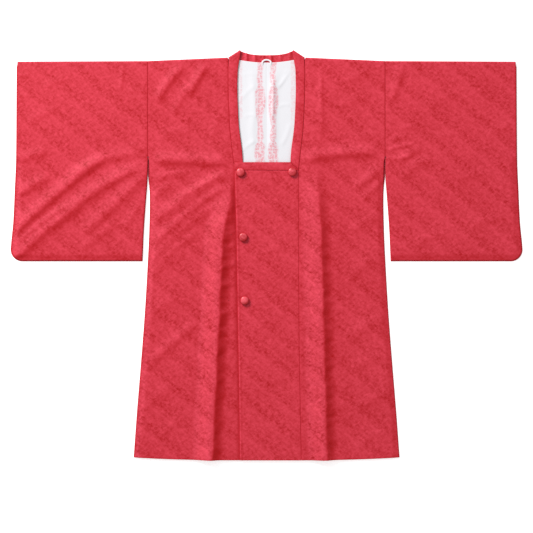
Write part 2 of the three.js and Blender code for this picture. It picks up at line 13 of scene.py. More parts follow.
import bpy
import numpy as np
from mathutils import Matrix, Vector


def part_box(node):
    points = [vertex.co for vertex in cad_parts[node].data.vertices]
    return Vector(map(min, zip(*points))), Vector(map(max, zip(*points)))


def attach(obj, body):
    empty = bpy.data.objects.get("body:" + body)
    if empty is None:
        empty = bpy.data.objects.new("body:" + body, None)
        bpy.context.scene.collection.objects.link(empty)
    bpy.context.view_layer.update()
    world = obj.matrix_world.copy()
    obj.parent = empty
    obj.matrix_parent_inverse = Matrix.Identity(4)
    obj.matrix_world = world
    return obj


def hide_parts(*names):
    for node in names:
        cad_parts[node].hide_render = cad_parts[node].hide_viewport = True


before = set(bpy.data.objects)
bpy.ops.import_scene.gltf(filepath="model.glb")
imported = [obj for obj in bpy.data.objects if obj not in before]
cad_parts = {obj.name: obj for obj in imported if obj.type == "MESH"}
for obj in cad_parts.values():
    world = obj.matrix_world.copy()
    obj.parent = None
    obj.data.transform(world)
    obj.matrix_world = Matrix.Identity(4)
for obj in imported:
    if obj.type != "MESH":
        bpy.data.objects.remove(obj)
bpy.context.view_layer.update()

LOG = logging.getLogger("coat")
Array = np.ndarray
MM = 0.001
CLOTH_MAP = "cloth"  # UV map in metres of flat cloth
TONE = "tone"  # attribute: on the silk, the share of painted shade, the rim's deeper red; on the lining, the share in the print
EDGE_SHADE = 0.5  # share of painted shade, the rim's deeper red, at any edge of the silk
EDGE_WIDTH = 1.9  # and how far in it reaches
FOLD_STEPS = 11  # rows round a shoulder fold
HEM_STEPS = np.array([0.9, 0.4, 0.12, 0])  # distances of the last rows from the hem
CREASE_CHORDS = 14
CREASE_FADE = 0.19  # share of its length over which a crease fades at each end


class Side(Enum):
    """The two halves, as the wearer has them. The value is the sign of x."""

    RIGHT = -1
    LEFT = 1

    @property
    def word(self) -> str:
        """The side's word in the solids' names."""
        return self.name.lower()


class Slot(Enum):
    """The kinds of material that the pieces are made of."""

    SILK = "silk"
    LINING = "lining"
    LOOP = "loop"
    BUTTONS = "buttons"


class EdgeRow(NamedTuple):
    """A point of an edge: its y, and how far out from the centre back it lies."""

    y: float
    out: float


class NeckRow(NamedTuple):
    """The neckband at a height: its sewn edge and its free edge, out from the centre."""

    y: float
    seam: float
    free: float


class OverlapRow(NamedTuple):
    """The overlap at a height: x of its free left edge, and of its seam with the left front."""

    y: float
    left: float
    seam: float


class FoldRow(NamedTuple):
    """A large fold at a height: x of its crest, and how high it stands."""

    y: float
    crest: float
    rise: float


class Crease(NamedTuple):
    """A crease's start, middle and end, its height, and its half widths left and right of the way it runs."""

    x0: float
    y0: float
    x1: float
    y1: float
    x2: float
    y2: float
    rise: float
    lit: float
    steep: float


class ButtonPlace(NamedTuple):
    """A button's solid, and its centre."""

    node: str
    x: float
    y: float


def rows(kind: type, *values: Sequence[float]) -> tuple:
    """Return a table: one row of the given kind from each set of values."""
    return tuple(kind(*row) for row in values)


SIDE_EDGE = rows(
    EdgeRow,
    (-240, 296.85), (-250, 293.8), (-305, 292), (-350, 291), (-425, 292.5), (-500, 296), (-620, 303),
    (-758, 313.5), (-874, 323), (-991, 331.5),
)
SLEEVE_INNER = rows(
    EdgeRow,
    (-240, 297.15), (-250, 297.5), (-300, 299.6), (-350, 303.5), (-425, 308.8), (-500, 312),
)
SLEEVE_OUTER = rows(
    EdgeRow,
    (0, 626), (-235, 627.5), (-325, 631), (-400, 634.5), (-470, 641), (-500, 642),
)
NECK_EDGE = rows(
    NeckRow,
    (12, 95.4, 69.5), (-20, 95.8, 72), (-65, 95.5, 73), (-151, 92.5, 70), (-252, 82, 59.6),
    (-272.5, 79.8, 59.6),
)
OVERLAP_EDGE = rows(
    OverlapRow,
    (-252, -80.5, 79.6), (-280, -79.4, 79.8), (-430, -75, 80.4), (-640, -71.5, 81), (-874, -67.8, 84.6),
    (-998, -66.5, 87),
)
LARGE_FOLDS = {
    Side.RIGHT: rows(
        FoldRow,
        (12, -135, 0), (-220, -112, 0), (-275, -90, 0.3), (-335, -91, 4), (-372, -97, 7.5),
        (-407, -103, 10), (-481, -111, 12), (-620, -117, 13), (-804, -126, 13.5), (-998, -135, 14),
    ),
    Side.LEFT: rows(
        FoldRow,
        (12, 139, 0.4), (-120, 139, 1.2), (-220, 132, 1), (-275, 129, 2.5), (-337, 132.5, 7),
        (-407, 137.5, 10), (-545, 142, 12), (-827, 149, 13.5), (-998, 153.5, 14),
    ),
}
# The side of a crease that faces the light lies to the left of the way it runs.
SLEEVE_CREASES = rows(
    Crease,
    (-704, -504, -546, -350, -384, -226, 3.2, 17, 11),
    (-500, -296, -410, -246, -300, -232, 1.5, 15, 11),
    (-690, -560, -480, -362, -290, -255, 3.0, 18, 12),
    (-476, -446, -370, -348, -286, -262, 2.2, 18, 13),
    (-640, -470, -560, -400, -486, -352, 1, 7, 6),
    (-676, -356, -600, -318, -538, -286, 1.9, 15, 10),
    (-672, -262, -600, -240, -546, -226, 1.5, 15, 10),
    (-540, -420, -500, -392, -458, -360, 1.2, 12, 9),
    (-470, -474, -420, -436, -370, -400, 1.1, 14, 10),
    (-360, -420, -336, -388, -318, -352, 0.9, 10, 8),
    (-602, -160, -560, -132, -520, -120, 0.6, 12, 9),
    (-560, -70, -532, -52, -500, -46, 0.5, 10, 8),
    (-364, -76, -361, -40, -358, -8, 0.8, 5, 4),
    (-352, -78, -326, -74, -302, -80, 0.5, 5, 4),
    (-346, -94, -322, -91, -302, -95, 0.45, 5, 4),
    (-624, -38, -610, -34, -592, -38, 0.45, 5, 4),
    (-624, -90, -612, -86, -594, -92, 0.5, 5, 4),
    (-628, -326, -612, -330, -588, -322, 0.55, 6, 4),
    (312, -108, 328, -52, 342, -6, 1.7, 15, 10),
    (324, -262, 356, -232, 392, -218, 1, 12, 9),
    (330, -300, 372, -262, 420, -240, 0.9, 13, 10),
    (402, -120, 440, -92, 486, -84, 0.5, 12, 9),
    (470, -300, 520, -286, 566, -290, 0.7, 14, 10),
    (500, -420, 552, -396, 606, -392, 0.7, 14, 10),
    (360, -470, 410, -440, 462, -432, 0.7, 14, 10),
    (552, -190, 584, -168, 616, -162, 0.7, 11, 9),
    (304, -222, 336, -213, 374, -208, 1.0, 5, 4),
    (303, -240, 332, -243, 368, -234, 0.9, 5, 4),
    (306, -200, 332, -190, 354, -186, 0.7, 6, 5),
    (330, -172, 354, -164, 384, -168, 0.6, 6, 5),
    (360, -256, 388, -250, 414, -254, 0.5, 7, 6),
    (420, -196, 444, -186, 470, -190, 0.5, 8, 7),
    (-342, -206, -322, -214, -303, -226, 0.8, 6, 5),
)
BODY_CREASES = {
    Side.RIGHT: rows(
        Crease,
        (-292, -247, -190, -249, -88, -257, 3.5, 17, 11),
        (-300, -412, -176, -326, -88, -276, 2.7, 15, 11),
        (-300, -474, -192, -374, -92, -304, 2.5, 14, 11),
        (-306, -520, -210, -418, -112, -352, 1.8, 14, 12),
        (-232, -348, -168, -312, -108, -280, 1, 7, 5),
        (-262, -410, -214, -368, -166, -340, 1, 8, 6),
        (-276, -512, -222, -462, -168, -428, 1.4, 12, 9),
        (-276, -108, -244, -52, -204, -12, 2.5, 14, 9),
        (-202, -96, -172, -44, -150, -8, 2.5, 13, 9),
        (-306, -770, -236, -706, -166, -648, 1.7, 15, 11),
        (-284, -300, -240, -284, -196, -286, 1.3, 12, 9),
        (-238, -138, -214, -96, -196, -52, 1, 10, 8),
        (-286, -348, -262, -322, -232, -306, 1, 10, 8),
        (-294, -540, -244, -500, -196, -474, 0.9, 14, 11),
        (-306, -650, -262, -612, -222, -590, 0.8, 14, 11),
        (-316, -880, -268, -836, -226, -808, 0.8, 14, 11),
        (-292, -962, -246, -918, -206, -890, 0.6, 13, 10),
        (-262, -190, -224, -176, -188, -178, 0.7, 11, 9),
        (-142, -196, -126, -160, -118, -120, 0.6, 9, 8),
        (-98, -372, -88, -364, -76, -362, 0.4, 5, 4),
        (-104, -438, -92, -430, -78, -432, 0.6, 5, 4),
        (-106, -470, -94, -466, -77, -458, 0.4, 4, 4),
        (-112, -520, -98, -508, -76, -506, 0.45, 6, 5),
        (-110, -566, -96, -560, -76, -562, 0.35, 5, 4),
        (-116, -640, -98, -628, -74, -630, 0.45, 7, 5),
        (-120, -712, -100, -704, -72, -692, 0.35, 7, 6),
        (-126, -806, -104, -790, -72, -788, 0.4, 8, 6),
        (-128, -902, -104, -894, -70, -880, 0.35, 8, 6),
    ),
    Side.LEFT: rows(
        Crease,
        (84, -250, 180, -232, 288, -230, 3.2, 17, 10),
        (216, -318, 256, -292, 286, -262, 1.8, 13, 9),
        (196, -560, 232, -520, 280, -490, 0.9, 16, 12),
        (196, -700, 246, -664, 300, -640, 1.2, 18, 14),
        (212, -880, 262, -846, 312, -826, 1, 16, 12),
        (232, -350, 262, -326, 286, -300, 1, 10, 8),
        (206, -430, 246, -402, 282, -384, 0.8, 13, 10),
        (142, -176, 137, -110, 138, -24, 0.8, 7, 5),
        (168, -132, 206, -102, 252, -92, 0.6, 12, 9),
        (196, -60, 226, -36, 262, -24, 0.7, 11, 9),
        (220, -196, 250, -186, 284, -190, 0.7, 10, 8),
        (206, -780, 250, -752, 292, -742, 0.7, 15, 12),
        (222, -972, 262, -940, 306, -926, 0.7, 14, 11),
        (138, -392, 156, -380, 176, -378, 0.4, 6, 5),
        (142, -462, 162, -450, 186, -452, 0.45, 7, 5),
        (146, -548, 166, -540, 190, -528, 0.35, 7, 6),
        (148, -640, 170, -626, 198, -624, 0.4, 8, 6),
        (150, -760, 174, -750, 202, -736, 0.35, 8, 6),
        (154, -884, 180, -868, 210, -866, 0.35, 8, 6),
    ),
}
OVERLAP_CREASES = rows(
    Crease,
    (-62, -322, -18, -306, 34, -304, 0.5, 13, 10),
    (-58, -402, -12, -372, 40, -360, 0.45, 14, 11),
    (-52, -512, 2, -476, 52, -458, 0.45, 14, 11),
    (-50, -690, 6, -648, 60, -622, 0.45, 15, 12),
    (-44, -842, 6, -806, 62, -786, 0.45, 15, 12),
    (-46, -956, 8, -922, 58, -906, 0.4, 14, 12),
)
# Soft troughs in the back, which lies on the floor
BACK_CREASES = rows(
    Crease,
    (-282, -330, -180, -342, -60, -366, 1.1, 12, 9),
    (-262, -452, -160, -434, -40, -446, 0.9, 13, 10),
    (-236, -566, -212, -700, -222, -860, 1.2, 14, 10),
    (-104, -520, -92, -680, -100, -820, 1, 13, 10),
    (-292, -742, -240, -706, -186, -688, 0.8, 12, 9),
    (-182, -96, -216, -150, -268, -188, 1.1, 11, 9),
    (-132, -210, -178, -232, -246, -240, 0.9, 12, 9),
    (58, -352, 166, -334, 276, -340, 1.1, 12, 9),
    (66, -470, 160, -448, 262, -462, 0.8, 13, 10),
    (118, -540, 104, -700, 112, -846, 1.1, 14, 10),
    (232, -560, 246, -680, 240, -800, 0.9, 13, 10),
    (190, -90, 222, -146, 270, -176, 1.1, 11, 9),
    (142, -206, 190, -226, 252, -232, 0.9, 12, 9),
    (-604, -420, -480, -330, -330, -292, 1.3, 14, 11),
    (-566, -446, -452, -380, -342, -350, 1.1, 14, 11),
    (-600, -150, -500, -120, -380, -132, 0.8, 13, 10),
    (330, -300, 460, -316, 600, -392, 1.2, 14, 11),
    (346, -372, 452, -396, 566, -446, 1, 14, 11),
    (380, -112, 492, -128, 600, -176, 0.8, 13, 10),
)
LINING_CREASES = rows(
    Crease,
    (-6, -236, -10, -160, -2, -70, 0.5, 6, 5),
    (-74, -238, -48, -212, -26, -198, 0.7, 7, 4),
    (26, -70, 46, -42, 60, -18, 0.8, 6, 4),
    (-68, -100, -46, -74, -28, -62, 0.4, 7, 5),
    (34, -214, 50, -186, 60, -150, 0.5, 7, 5),
    (14, -150, 17, -92, 15, -34, 1.3, 6, 4),
    (42, -30, 50, -22, 54, -10, 0.7, 4, 3),
    (-62, -36, -40, -30, -22, -34, 0.35, 5, 4),
    (-60, -140, -38, -134, -24, -142, 0.3, 5, 4),
    (28, -116, 44, -108, 60, -112, 0.35, 5, 4),
)
LINING_FOLDS = rows(FoldRow, (0, 16, 2), (0, -33, 1))  # the two long soft folds: crest and rise


BUTTON_PLACES = rows(
    ButtonPlace,
    ("button_top_right", -65.3, -277.5),
    ("button_top_left", 64.3, -276.5),
    ("button_middle", -58.5, -439.5),
    ("button_lower", -54.8, -598),
)


def mix(a: Array | float, b: Array | float, t: Array | float) -> Array | float:
    """Return the value t of the way from a to b."""
    return a + (b - a) * t


def ease(a: float, b: float, v: Array) -> Array:
    """Return a smooth step from 0 at a to 1 at b: three t squared less two t cubed."""
    t = np.clip((v - a) / (b - a), 0, 1)
    return t * t * (3 - 2 * t)


def bell(distance: Array, width: Array | float) -> Array:
    """Return a bell: 1 at no distance, and 1 / e at one width."""
    return np.exp(-((distance / width) ** 2))


def read_table(table: Sequence[NamedTuple], column: str, y: Array) -> Array:
    """Read a column of a table at heights y.

    The rows run from the top down. Between two rows the value follows a cubic whose slope at each row is
    the harmonic mean of the straight slopes beside it, or nothing where these turn back, so that it never
    overshoots.

    Args:
        table: Rows with a y and the named column.
        column: The column's name.
        y: Heights at which it is read; beyond the ends the end values hold.

    Returns:
        The values at y.
    """
    ys = np.array([row.y for row in table], float)[::-1]
    values = np.array([getattr(row, column) for row in table], float)[::-1]
    steps = np.diff(ys)
    slopes = np.diff(values) / steps
    below, above = slopes[:-1], slopes[1:]
    turning = below * above <= 0
    safe = np.where(turning, 1, below + above)
    inner = np.where(turning, 0, 2 * below * above / safe)
    tangents = np.concatenate([[slopes[0]], inner, [slopes[-1]]])
    held = np.clip(y, ys[0], ys[-1])
    i = np.clip(np.searchsorted(ys, held) - 1, 0, len(steps) - 1)
    t = (held - ys[i]) / steps[i]
    rising = t * (1 - t) ** 2 * steps[i] * tangents[i]
    falling = t * t * (t - 1) * steps[i] * tangents[i + 1]
    return mix(values[i], values[i + 1], ease(0, 1, t)) + rising + falling


def uneven(along: Array, length: float, start: float = 0.0) -> Array:
    """Return an uneven wave between about -1 and 1: three sines whose lengths share no common measure."""
    turn = 2 * np.pi * along / length + start
    return (np.sin(turn) + 0.6 * np.sin(1.73 * turn + 1.1) + 0.4 * np.sin(2.91 * turn + 2.3)) / 1.7


def pucker(along: Array, length: float, start: float = 0.0, spread: float = 0.25) -> Array:
    """Return how strongly a seam pulls along it: an uneven share of at most 1."""
    return 1 - spread + spread * uneven(along, length, start)


def rounded_edge(distance: Array, reach: float, depth: float) -> Array:
    """Return how far a face draws in near an edge: a quarter ellipse, depth deep and reach wide."""
    short = np.clip(1 - distance / reach, 0, 1)
    return depth * (1 - np.sqrt(1 - short**2))


def spaced(count: int, width: float, edge: float = 1.4) -> Array:
    """Work out shares of the way across a piece.

    Args:
        count: Even steps over the middle.
        width: Width of the piece.
        edge: Width of the rounded border, over which the columns stand closer.

    Returns:
        Shares from 0 to 1.
    """
    close = np.array([0, 0.08, 0.28, 0.6]) * edge / width
    middle = np.linspace(edge / width, 1 - edge / width, count)
    return np.concatenate([close, middle, 1 - close[::-1]])


def crease_height(creases: Sequence[Crease], x: Array, y: Array) -> Array:
    """Work out how high creases lift a surface.

    Each crest is the quadratic curve through its three points, drawn as chords. The height is the rise
    times a bell of the distance to the nearest chord, over the half width of the side on which the point
    lies, and it fades smoothly to nothing at both ends.

    Args:
        creases: The creases.
        x: Places across.
        y: Places along.

    Returns:
        Heights with the shape of x.
    """
    height = np.zeros(np.shape(x))
    t = np.linspace(0, 1, CREASE_CHORDS + 1)[:, None]
    for crease in creases:
        ends = np.array([[crease.x0, crease.y0], [crease.x2, crease.y2]])
        bend = 2 * np.array([crease.x1, crease.y1]) - ends.mean(axis=0)
        line = (1 - t) ** 2 * ends[0] + 2 * t * (1 - t) * bend + t * t * ends[1]
        reach = 2.6 * max(crease.lit, crease.steep)  # the bell has come down to a thousandth there
        low, high = line.min(axis=0) - reach, line.max(axis=0) + reach
        near = (x > low[0]) & (x < high[0]) & (y > low[1]) & (y < high[1])
        if not near.any():
            continue
        start, chord = line[:-1], np.diff(line, axis=0)
        dx = x[near][:, None] - start[:, 0]
        dy = y[near][:, None] - start[:, 1]
        share = np.clip((dx * chord[:, 0] + dy * chord[:, 1]) / (chord**2).sum(axis=1), 0, 1)
        gap = np.hypot(dx - share * chord[:, 0], dy - share * chord[:, 1])
        nearest = gap.argmin(axis=1)
        pick = np.arange(len(nearest))
        left = (chord[:, 0] * dy - chord[:, 1] * dx)[pick, nearest] > 0
        along = (nearest + share[pick, nearest]) / CREASE_CHORDS
        fade = ease(0, CREASE_FADE, along) * ease(0, CREASE_FADE, 1 - along)
        half = np.where(left, crease.lit, crease.steep)
        height[near] += crease.rise * fade * bell(gap[pick, nearest], half)
    return height


def linear(hex_colour: str) -> tuple[float, float, float, float]:
    """Turn an sRGB hex colour into linear light: a straight line near black, and a power of 2.4 above it.

    Args:
        hex_colour: The colour, as # and six digits.

    Returns:
        Red, green and blue, with an alpha of 1.
    """
    values = np.array([int(hex_colour[i : i + 2], 16) for i in (1, 3, 5)]) / 255
    light = np.where(values <= 0.04045, values / 12.92, ((values + 0.055) / 1.055) ** 2.4)
    return (*(float(v) for v in light), 1.0)


def add_node(
    tree: bpy.types.NodeTree,
    kind: str,
    inputs: Mapping[str | int, object] | None = None,
    output: str | int = 0,
    **settings: object,
) -> bpy.types.NodeSocket | None:
    """Add a node with its settings, and fill its sockets.

    Args:
        tree: The node tree.
        kind: The node's type, without the "ShaderNode" that all begin with.
        inputs: Socket names or numbers, each with the value it holds or the output it is joined to.
        output: Name or number of the output to hand on.
        **settings: Properties of the node itself.

    Returns:
        That output, or nothing from a node that has none.
    """
    node = tree.nodes.new(f"ShaderNode{kind}")
    for key, value in settings.items():
        setattr(node, key, value)
    for key, value in (inputs or {}).items():
        if isinstance(value, bpy.types.NodeSocket):
            tree.links.new(value, node.inputs[key])
        else:
            node.inputs[key].default_value = value
    return node.outputs[output] if node.outputs else None


def new_material(name: str) -> tuple[bpy.types.Material, Callable]:
    """Make a material without nodes.

    Args:
        name: The material's name.

    Returns:
        The material, and what adds a node to it.
    """
    material = bpy.data.materials.new(name)
    material.use_nodes = True
    material.node_tree.nodes.clear()
    return material, partial(add_node, material.node_tree)


def shade(material: bpy.types.Material, inputs: Mapping[str, object]) -> bpy.types.Material:
    """Join a Principled shader to a material's output.

    Args:
        material: The material.
        inputs: What the shader's sockets hold or are joined to.

    Returns:
        The material.
    """
    surface = add_node(material.node_tree, "BsdfPrincipled", inputs)
    add_node(material.node_tree, "OutputMaterial", {"Surface": surface})
    return material


@dataclass(frozen=True)
class FiguredSilk:
    """Silk rinzu: a satin figure woven into a crepe ground, piece-dyed red, and pressed.

    It gives the eye a soft red with slanting lighter bands, where the satin lies smooth, between mottled
    ones, where the crepe grain scatters the light, and a low sheen. As painted highlight and shade, the
    colour is paler where the cloth turns towards the key lamp and deeper in hollows that turn away. As
    painted shade, a deeper, more saturated red lies along edges, beside the overlap and round the buttons.
    """

    name: str = "silk_rinzu_figured_red"
    ground: str = "#9D0813"
    figure: str = "#E34A5E"
    deep: str = "#BA040D"  # painted shade: the colour where the cloth turns away from the key lamp
    # painted shade: the deeper, more saturated red along edges, beside the overlap and round the buttons
    rim: str = "#B41220"
    bloom: str = "#FF9BA4"  # the sheen's tint
    roughness: float = 0.52
    band_period: float = 59.0  # across the slanting bands
    band_slope: float = -50.0  # degrees that turn the cloth's width to the way across the bands
    bands: tuple[float, float] = (0.6, 0.4)  # weights of the wide bands and the thin lines in the figure
    grain: tuple[float, float] = (3.4, 2.4)  # crepe grain; woven 0.5 mm fine, drawn coarser so that it shows
    streak: tuple[float, float] = (5.6, 11.5)  # marks of the woven figure, crossing: width and length
    crumple: tuple[float, float] = (30.0, 17.0)  # soft dents that pressing leaves
    speckles: tuple[float, float, float] = (0.5, 0.75, 0.8)  # weights of grain, marks across and marks along
    calm: tuple[float, float] = (-0.5, 1.1)  # strength of the speckles: change with the figure, and start
    mottling: float = 0.95  # how strongly the speckles show in the colour
    figured: float = 0.23  # how strongly the figure does
    clouded: float = 0.3  # and a slow cloud
    paleness: float = 0.235  # share of the figure's red everywhere
    away_from_key: tuple[float, float, float] = (0.64, -0.77, 0.0)  # the way across the floor away from the key lamp, for the painted shade
    turned: float = 1.9  # how fast the painted shade deepens with the slope
    level: float = 0.22  # and the painted shade's share on level cloth
    shine: float = 0.2  # what its surface mirrors, of a plain cloth's half
    depth: float = 0.3  # how far the grain stands out
    crumple_depth: float = 1.6  # and the dents, beside it

    def build(self) -> bpy.types.Material:
        """Make the material.

        The colour runs from the ground to the figure by a sum: wide sine bands across the slant, thin lines
        of half their period (the fifth power of a sine), crepe grain, the figure's streaks along and across
        the bands, and a slow cloud. Grain and streaks are noise about zero, stronger on the ground than
        where a band lies smooth. As painted shade it deepens with the part of the surface's normal that
        points away from the key lamp across the floor, and so stays paler, as painted highlight, where the
        normal points towards the lamp. The tone attribute mixes in the rim's deeper red, as painted shade.

        Returns:
            The material.
        """
        material, node = new_material(self.name)
        flat = node("UVMap", uv_map=CLOTH_MAP)
        slopes = np.radians([self.band_slope, -self.band_slope])
        leaning = [node("Mapping", {"Vector": flat, "Rotation": (0, 0, slope)}) for slope in slopes]
        bent = {"Vector": leaning[0], "Detail": 3.0, "Detail Scale": 2.6, "Detail Roughness": 0.6}
        rate = np.pi / 10 / (self.band_period * MM)  # one wave is a tenth of pi long at a scale of 1
        wide = node("TexWave", bent | {"Scale": rate, "Distortion": 2.4}, "Fac")
        narrow = node("TexWave", bent | {"Scale": 2 * rate, "Distortion": 1.4, "Phase Offset": 1.3}, "Fac")
        thin = node("Math", {0: narrow, 1: 5.0}, operation="POWER")
        lines = node("Math", {0: thin, 1: self.bands[1]}, operation="MULTIPLY")
        figure = node("Math", {0: wide, 1: self.bands[0], 2: lines}, operation="MULTIPLY_ADD")

        grounds = (flat, *leaning[::-1], flat)
        swirled = {"Scale": 1.0, "Detail": 2.0, "Roughness": 0.5, "Distortion": 0.35}
        noises = []
        for ground, size in zip(grounds, (self.grain, self.streak, self.streak, self.crumple)):
            scale = (1 / (size[0] * MM), 1 / (size[1] * MM), 1.0)
            place = node("Mapping", {"Vector": ground, "Scale": scale})
            noises.append(node("TexNoise", swirled | {"Vector": place}, noise_dimensions="2D"))
        speckle = -sum(self.speckles) / 2
        for noise, weight in zip(noises, self.speckles):
            speckle = node("Math", {0: noise, 1: weight, 2: speckle}, operation="MULTIPLY_ADD")
        strength = node("Math", {0: figure, 1: self.calm[0], 2: self.calm[1]}, operation="MULTIPLY_ADD")
        mottle = node("Math", {0: speckle, 1: strength}, operation="MULTIPLY")
        cloud = node("TexNoise", {"Vector": flat, "Scale": 9.0, "Detail": 2.0})
        share = self.paleness
        for part, weight in ((cloud, self.clouded), (figure, self.figured), (mottle, self.mottling)):
            share = node("Math", {0: part, 1: weight, 2: share}, operation="MULTIPLY_ADD")

        # Painted shade and highlight: deeper where the normal points away from the key lamp, paler where it
        # points towards it
        facing = node("TexCoord", output="Normal")
        away = node("VectorMath", {0: facing, 1: self.away_from_key}, "Value", operation="DOT_PRODUCT")
        sloped = {0: away, 1: self.turned, 2: self.level}
        painted_shade_share = node("Math", sloped, operation="MULTIPLY_ADD", use_clamp=True)
        # Painted shade: the tone attribute mixes in the rim's deeper red
        pressed = node("Attribute", output="Fac", attribute_name=TONE)
        colour = linear(self.ground)
        for part, dye in ((share, self.figure), (painted_shade_share, self.deep), (pressed, self.rim)):
            colour = node("Mix", {0: part, 6: colour, 7: linear(dye)}, 2, data_type="RGBA")
        relief = node("Math", {0: noises[-1], 1: self.crumple_depth, 2: mottle}, operation="MULTIPLY_ADD")
        finish = {
            "Base Color": colour,
            "Normal": node("Bump", {"Strength": self.depth, "Distance": 0.6 * MM, "Height": relief}),
            "Roughness": self.roughness,
            "IOR": 1.5,
            "Specular IOR Level": self.shine,
            "Sheen Weight": 0.05,
            "Sheen Roughness": 0.4,
            "Sheen Tint": linear(self.bloom),
        }
        return shade(material, finish)


@dataclass(frozen=True)
class PrintedLining:
    """White habutae silk, plain woven and stencil-dyed with chains of small blossoms in pale red.

    It gives the eye a smooth cool white with two speckled pink columns beside the centre seam.
    """

    name: str = "silk_habutae_lining_white"
    white: str = "#D9D8DC"
    blossom: str = "#DC6474"
    blossom_size: float = 7.4  # from one blossom to the next
    petal: tuple[float, float] = (0.06, 0.31)  # the outline's wave and radius, in shares of that size
    line: tuple[float, float] = (0.2, 0.04)  # from where the outline's line begins to where it is full
    heart: float = 0.1  # radius of the dot
    fray: float = 0.9  # how far noise eats into the edge of the print
    ink: tuple[float, float] = (0.6, 0.2)  # strength of the drawing, and of the tint round it
    thread: float = 2.5  # weave, 12 threads to the centimetre, drawn three threads to one

    def build(self) -> bpy.types.Material:
        """Make the material.

        Where the print lies is an attribute of the piece, frayed by noise. In it each cell of a Voronoi
        pattern holds a blossom: a line along the curve whose distance from the cell's middle grows and
        shrinks five times on the way round, and a dot in the middle. A second noise wears some of them
        away.

        Returns:
            The material.
        """
        material, node = new_material(self.name)
        flat = node("UVMap", uv_map=CLOTH_MAP)
        place = node("Mapping", {"Vector": flat, "Scale": (1 / (self.blossom_size * MM),) * 3})
        cell = {"Vector": place, "Scale": 1.0, "Randomness": 0.65}
        centre = node("TexVoronoi", cell, "Position", voronoi_dimensions="2D")
        distance = centre.node.outputs["Distance"]
        spoke = node("VectorMath", {0: place, 1: centre}, operation="SUBTRACT")
        arm = node("SeparateXYZ", {0: spoke}).node.outputs
        turn = node("Math", {0: arm[1], 1: arm[0]}, operation="ARCTAN2")
        fivefold = node("Math", {0: turn, 1: 5.0}, operation="MULTIPLY")
        petals = node("Math", {0: fivefold}, operation="COSINE")
        radius = node("Math", {0: petals, 1: self.petal[0], 2: self.petal[1]}, operation="MULTIPLY_ADD")
        off = node("Math", {0: distance, 1: radius}, operation="SUBTRACT")
        gap = node("Math", {0: off}, operation="ABSOLUTE")
        line = node("MapRange", {"Value": gap, "From Min": self.line[0], "From Max": self.line[1]})
        heart = node("Math", {0: distance, 1: self.heart}, operation="LESS_THAN")
        drawn = node("Math", {0: line, 1: heart}, operation="MAXIMUM")
        fraying, wear = (
            node("TexNoise", {"Vector": place, "Scale": scale, "Detail": 2.0}, noise_dimensions="2D")
            for scale in (0.9, 1.7)
        )
        printed = node("Attribute", output="Fac", attribute_name=TONE)
        full = node("Math", {0: printed, 1: 1.5}, operation="MULTIPLY")
        frayed = {0: fraying, 1: -self.fray, 2: full}
        column = node("Math", frayed, operation="MULTIPLY_ADD", use_clamp=True)
        worn = node("MapRange", {"Value": wear, "From Min": 0.36, "From Max": 0.58, "To Min": 0.3})
        inked = node("Math", {0: drawn, 1: worn}, operation="MULTIPLY")
        ink = node("Math", {0: inked, 1: self.ink[0], 2: self.ink[1]}, operation="MULTIPLY_ADD")
        share = node("Math", {0: ink, 1: column}, operation="MULTIPLY")
        dyes = {0: share, 6: linear(self.white), 7: linear(self.blossom)}
        threads = {"Vector": flat, "Scale": 1 / (self.thread * MM), "Detail": 2.0}
        weave = node("TexNoise", threads, noise_dimensions="2D")
        finish = {
            "Base Color": node("Mix", dyes, 2, data_type="RGBA"),
            "Normal": node("Bump", {"Strength": 0.15, "Distance": 0.2 * MM, "Height": weave}),
            "Roughness": 0.6,
            "Specular IOR Level": 0.3,
            "Sheen Weight": 0.1,
        }
        return shade(material, finish)


@dataclass(frozen=True)
class WovenTape:
    """White rayon tape with a close warp rib, for the hanging loop. It gives the eye a bright white edge."""

    name: str = "rayon_tape_white"
    white: str = "#EAE9EC"
    hollow: str = "#D6D5DA"  # painted shade between the ribs
    rib: float = 0.8  # from rib to rib across the tape

    def build(self) -> bpy.types.Material:
        """Make the material: fine ribs along the tape, as a sine across it, in bump, and in colour as painted
        shade between the ribs.

        Returns:
            The material.
        """
        material, node = new_material(self.name)
        flat = node("UVMap", uv_map=CLOTH_MAP)
        wave = {"Vector": flat, "Scale": np.pi / 10 / (self.rib * MM), "Distortion": 0.6, "Detail": 1.0}
        ribs = node("TexWave", wave, "Fac", bands_direction="X")
        # Painted shade between the ribs
        whites = {0: ribs, 6: linear(self.hollow), 7: linear(self.white)}
        finish = {
            "Base Color": node("Mix", whites, 2, data_type="RGBA"),
            "Normal": node("Bump", {"Strength": 0.3, "Distance": 0.2 * MM, "Height": ribs}),
            "Roughness": 0.55,
        }
        return shade(material, finish)


@dataclass(frozen=True)
class SilkThread:
    """Twisted silk thread, dyed a shade deeper than the cloth. It gives the eye small dark glossy ticks."""

    name: str = "silk_thread_deep_red"
    red: str = "#7E1A24"
    hollow: str = "#5E1019"  # painted shade between the turns
    twist: float = 0.6  # from turn to turn of the twist

    def build(self) -> bpy.types.Material:
        """Make the material: the twist as slanting bands on object coordinates, darker between the turns as
        painted shade.

        Returns:
            The material.
        """
        material, node = new_material(self.name)
        here = node("TexCoord", output="Object")
        wave = {"Vector": here, "Scale": np.pi / 10 / (self.twist * MM), "Distortion": 0.5}
        twist = node("TexWave", wave, "Fac", bands_direction="DIAGONAL")
        # Painted shade between the turns
        reds = {0: twist, 6: linear(self.hollow), 7: linear(self.red)}
        return shade(material, {"Base Color": node("Mix", reds, 2, data_type="RGBA"), "Roughness": 0.45})


